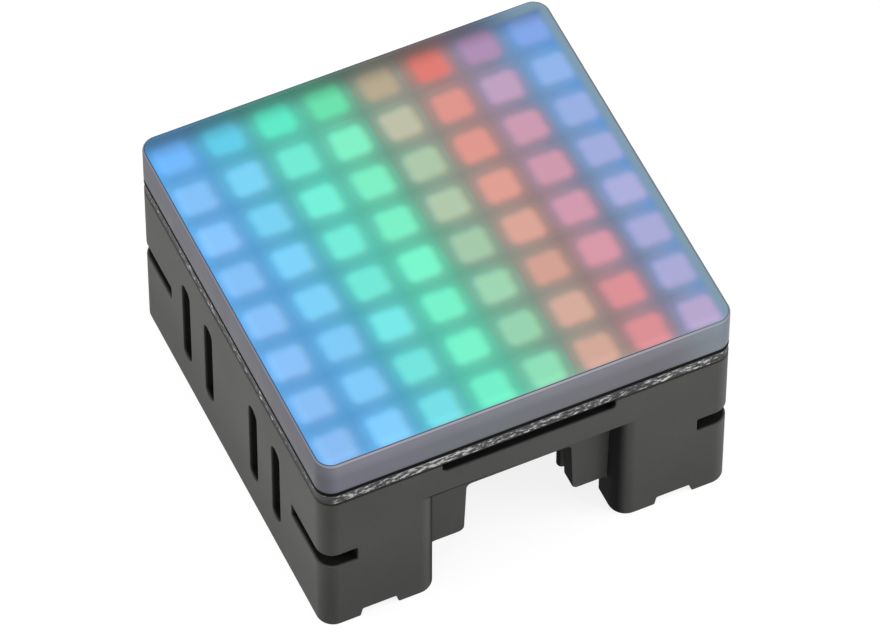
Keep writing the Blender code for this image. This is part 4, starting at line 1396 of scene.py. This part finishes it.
def make_capacitor(centre):
    """A can with its rolled groove and stepped end, a seat with two cut corners, and two tabs."""
    low, high = CAN_LOW.z, CAN_HIGH.z
    radius = 2.5 * MM
    # The can's outline: shares of its radius, and heights in millimetres
    shape = (
        (0, 0), (0.86, 0), (0.94, 0.05), (1, 0.3), (1, 3.2), (0.93, 3.45),
        (0.88, 3.55), (0.93, 3.65), (1, 3.9), (1, 4.9), (0, 4.9),
    )
    can = turned_piece("can", centre, [(radius * out, low + up * MM) for out, up in shape], 40)
    dress(can, finish(drawn_aluminium_can))
    half = (CAN_HIGH.y - CAN_LOW.y) / 2
    resin = box_piece("resin", (centre.x - half, -half, high - MM), (centre.x + half, half, high))
    edit(resin)
    pick(resin, "EDGE", lambda edge: upright(edge) and edge.verts[0].co.y > 0)
    bpy.ops.mesh.bevel(offset=MM, segments=1, affect="EDGES")
    close()
    soften(resin, 0.08 * MM)
    dress(resin, finish(moulded_black_resin))
    tab_half, tab_thick = 0.4 * MM, 0.14 * MM
    tab_low = (centre.x - tab_half, 1.5 * MM, high - tab_thick)
    tab = box_piece("tab", tab_low, (centre.x + tab_half, half + 0.1 * MM, high))
    grow(tab, lambda face: face.normal.y > 0.9, ((0, 0.45 * MM, 0), (0.8, 1, 1)))
    soften(tab, 0.03 * MM)
    dress(tab, finish(turned_brass_tin_plate))
    wedge = solder_wedge((centre.x, half + 0.35 * MM), (0.55 * MM, 0.45 * MM), 0.16 * MM)
    for piece in (tab, wedge):
        mirror(piece, y=True)
    return join("capacitor_pattern", [can, resin, tab, wedge])


class DISPLAY_OT_electronics(bpy.types.Operator):
    """Model the small parts on the board's underside: the driver chip, chip parts, vias, pads and print"""

    bl_idname = "display_module.electronics"
    bl_label = "Small parts"

    def execute(self, context):
        look = settings().parts
        seat(make_driver_chip(look))
        ceramic, resin = finish(fired_ceramic), finish(moulded_black_resin)
        seat(make_chip_parts("chip_capacitors", ((4.7, 3.7), (8.4, 7.6)), ceramic))
        seat(make_chip_parts("chip_resistors", ((14.2, 3.2), (14.2, 6.2)), resin))
        seat(make_vias(settings().cover))
        seat(make_test_pads())
        seat(make_print(look))
        return {"FINISHED"}


def make_driver_chip(look):
    """A fourteen-lead chip in the middle of the underside, with gull-wing leads."""
    top, bottom = UNDERSIDE - 0.1 * MM, UNDERSIDE - 1.15 * MM
    middle = (top + bottom) / 2
    body = box_piece("driver_chip", (-2.2 * MM, -2.5 * MM, bottom), (2.2 * MM, 2.5 * MM, top))
    edit(body)
    bpy.ops.mesh.bisect(plane_co=(0, 0, middle), plane_no=(0, 0, 1))
    for height in (top, bottom):
        pick(body, "FACE", at_height(height))
        bpy.ops.transform.resize(value=(0.94, 0.95, 1))
    close()
    dip, below = bottom + 0.06 * MM, bottom - MM
    profile = ((0, dip), (0.28 * MM, dip), (0.3 * MM, below), (0, below))
    cut_with(body, turned_piece("dimple", (-1.5 * MM, -1.8 * MM), profile, 16))
    soften(body, 0.06 * MM)
    dress(body, finish(moulded_black_resin))
    first = -3 * look.chip_pitch
    half, thin = 0.12 * MM, 0.07 * MM
    lead_low = (2.1 * MM, first - half, middle - thin)
    lead = box_piece("lead", lead_low, (2.3 * MM, first + half, middle + thin))
    grow(
        lead,
        lambda face: face.normal.x > 0.9,
        ((0.14 * MM, 0, 0), (1, 1, 1)),
        ((0.16 * MM, 0, 0.46 * MM), (1, 1, 1)),
        ((0.45 * MM, 0, 0.04 * MM), (1, 1, 1)),
    )
    soften(lead, 0.02 * MM)
    dress(lead, finish(turned_brass_tin_plate))
    repeat(lead, 7, (0, look.chip_pitch, 0))
    mirror(lead, x=True)
    return join("driver_chip", [body, lead])


def make_chip_parts(name, places, body_finish):
    """Small two-ended parts: a body whose plated ends sit in solder, in all four quarters of the board."""
    half_long, half_wide, tall, end = 0.8 * MM, 0.4 * MM, 0.75 * MM, 0.35 * MM
    high = UNDERSIDE - 0.03 * MM
    pieces = []
    for x, y in places:
        centre = Vector((x * MM, y * MM, 0))
        body = box_piece(
            "part",
            centre + Vector((-half_long, -half_wide, high - tall)),
            centre + Vector((half_long, half_wide, high)),
        )
        edit(body)
        for side in (-1, 1):
            cut = centre.x + side * (half_long - end)
            bpy.ops.mesh.select_all(action="SELECT")
            bpy.ops.mesh.bisect(plane_co=(cut, 0, 0), plane_no=(1, 0, 0))
        for side in (-1, 1):
            cut = half_long - end + TOLERANCE
            pick(body, "VERT", lambda vert: (vert.co.x - centre.x) * side > cut)
            bpy.ops.transform.resize(value=(1, 1.07, 1.05))
        close()
        soften(body, 0.05 * MM)
        dress(body, body_finish, finish(reflowed_solder))
        paint(body, 1, lambda face: abs(face.center.x - centre.x) > half_long - end - 0.02 * MM)
        ends = [
            solder_wedge((centre.x + side * half_long, centre.y), (0.36 * MM, 0.44 * MM), 0.42 * MM)
            for side in (-1, 1)
        ]
        piece = join("part", [body, *ends])
        mirror(piece, x=True, y=True)
        pieces.append(piece)
    return join(name, pieces)


def make_vias(look):
    """A lacquered via behind each LED."""
    first = -(look.count - 1) / 2 * look.pitch
    profile = (
        (0, UNDERSIDE - 0.02 * MM), (0.14 * MM, UNDERSIDE - 0.035 * MM),
        (0.28 * MM, UNDERSIDE), (0, UNDERSIDE),
    )
    vias = turned_piece("vias", (first, first), profile, 10)
    repeat(vias, look.count, (look.pitch, 0, 0))
    repeat(vias, look.count, (0, look.pitch, 0))
    smooth(vias)
    return dress(vias, finish(black_solder_mask, settings().board))


def make_test_pads():
    """A row of round tinned pads at each side wall, for the works' test needles."""
    drop = UNDERSIDE - 0.03 * MM
    profile = ((0, drop - 0.02 * MM), (0.42 * MM, drop - 0.01 * MM), (0.5 * MM, UNDERSIDE), (0, UNDERSIDE))
    pads = turned_piece("test_pads", (16.6 * MM, -3.75 * MM), profile, 16)
    repeat(pads, 4, (0, 2.5 * MM, 0))
    mirror(pads, x=True)
    smooth(pads)
    return dress(pads, finish(reflowed_solder))


def make_print(look):
    """Screen-printed outlines round the sockets, the cans and the driver chip."""
    top, bottom = UNDERSIDE, UNDERSIDE - 0.02 * MM
    margin = 0.45 * MM
    outlines = []
    for node_name in ("signal_in_socket", "signal_out_socket", "bulk_capacitor_1", "bulk_capacitor_2"):
        low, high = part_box(node_name)
        low_corner = (low.x - margin, low.y - margin, bottom)
        high_corner = (high.x + margin, high.y + margin, top)
        outlines.append(frame_piece("outline", low_corner, high_corner, look.print_width))
    chip_low, chip_high = (-3.6 * MM, -2.9 * MM, bottom), (3.6 * MM, 2.9 * MM, top)
    outlines.append(frame_piece("outline", chip_low, chip_high, look.print_width))
    radius = 0.22 * MM
    profile = ((0, bottom), (radius, bottom), (radius, top), (0, top))
    dot = turned_piece("dot", (-4.1 * MM, -2.2 * MM), profile, 16)
    return dress(join("screen_print", [*outlines, dot]), finish(screened_white_ink))


class DISPLAY_PT_panel(bpy.types.Panel):
    """Settings and steps of the display module"""

    bl_idname = "DISPLAY_PT_panel"
    bl_label = "RGB display module"
    bl_space_type = "VIEW_3D"
    bl_region_type = "UI"
    bl_category = "Display"

    def draw(self, context):
        look = settings()
        for group in (look.stage, look.base, look.board, look.cover, look.parts):
            box = self.layout.box()
            box.label(text=group.__doc__)
            for name in group.__annotations__:
                box.prop(group, name)
        for step in STEPS:
            self.layout.operator(step.bl_idname)


STEPS = (
    DISPLAY_OT_stage,
    DISPLAY_OT_base,
    DISPLAY_OT_board,
    DISPLAY_OT_gasket,
    DISPLAY_OT_cover,
    DISPLAY_OT_fixings,
    DISPLAY_OT_sockets,
    DISPLAY_OT_capacitors,
    DISPLAY_OT_electronics,
)
GROUPS = (StageSettings, CoverSettings, BaseSettings, BoardSettings, PartSettings, ModuleSettings)
CLASSES = (*GROUPS, *STEPS, DISPLAY_PT_panel)


def register():
    """Make the settings, operators and panel known."""
    for item in CLASSES:
        bpy.utils.register_class(item)
    bpy.types.Scene.display_module = bpy.props.PointerProperty(type=ModuleSettings)


def unregister():
    """Take the settings, operators and panel away again."""
    del bpy.types.Scene.display_module
    for item in reversed(CLASSES):
        bpy.utils.unregister_class(item)


def main():
    """Register, and take every step in order."""
    register()
    for step in STEPS:
        group, name = step.bl_idname.split(".")
        getattr(getattr(bpy.ops, group), name)()


if __name__ == "__main__":
    main()
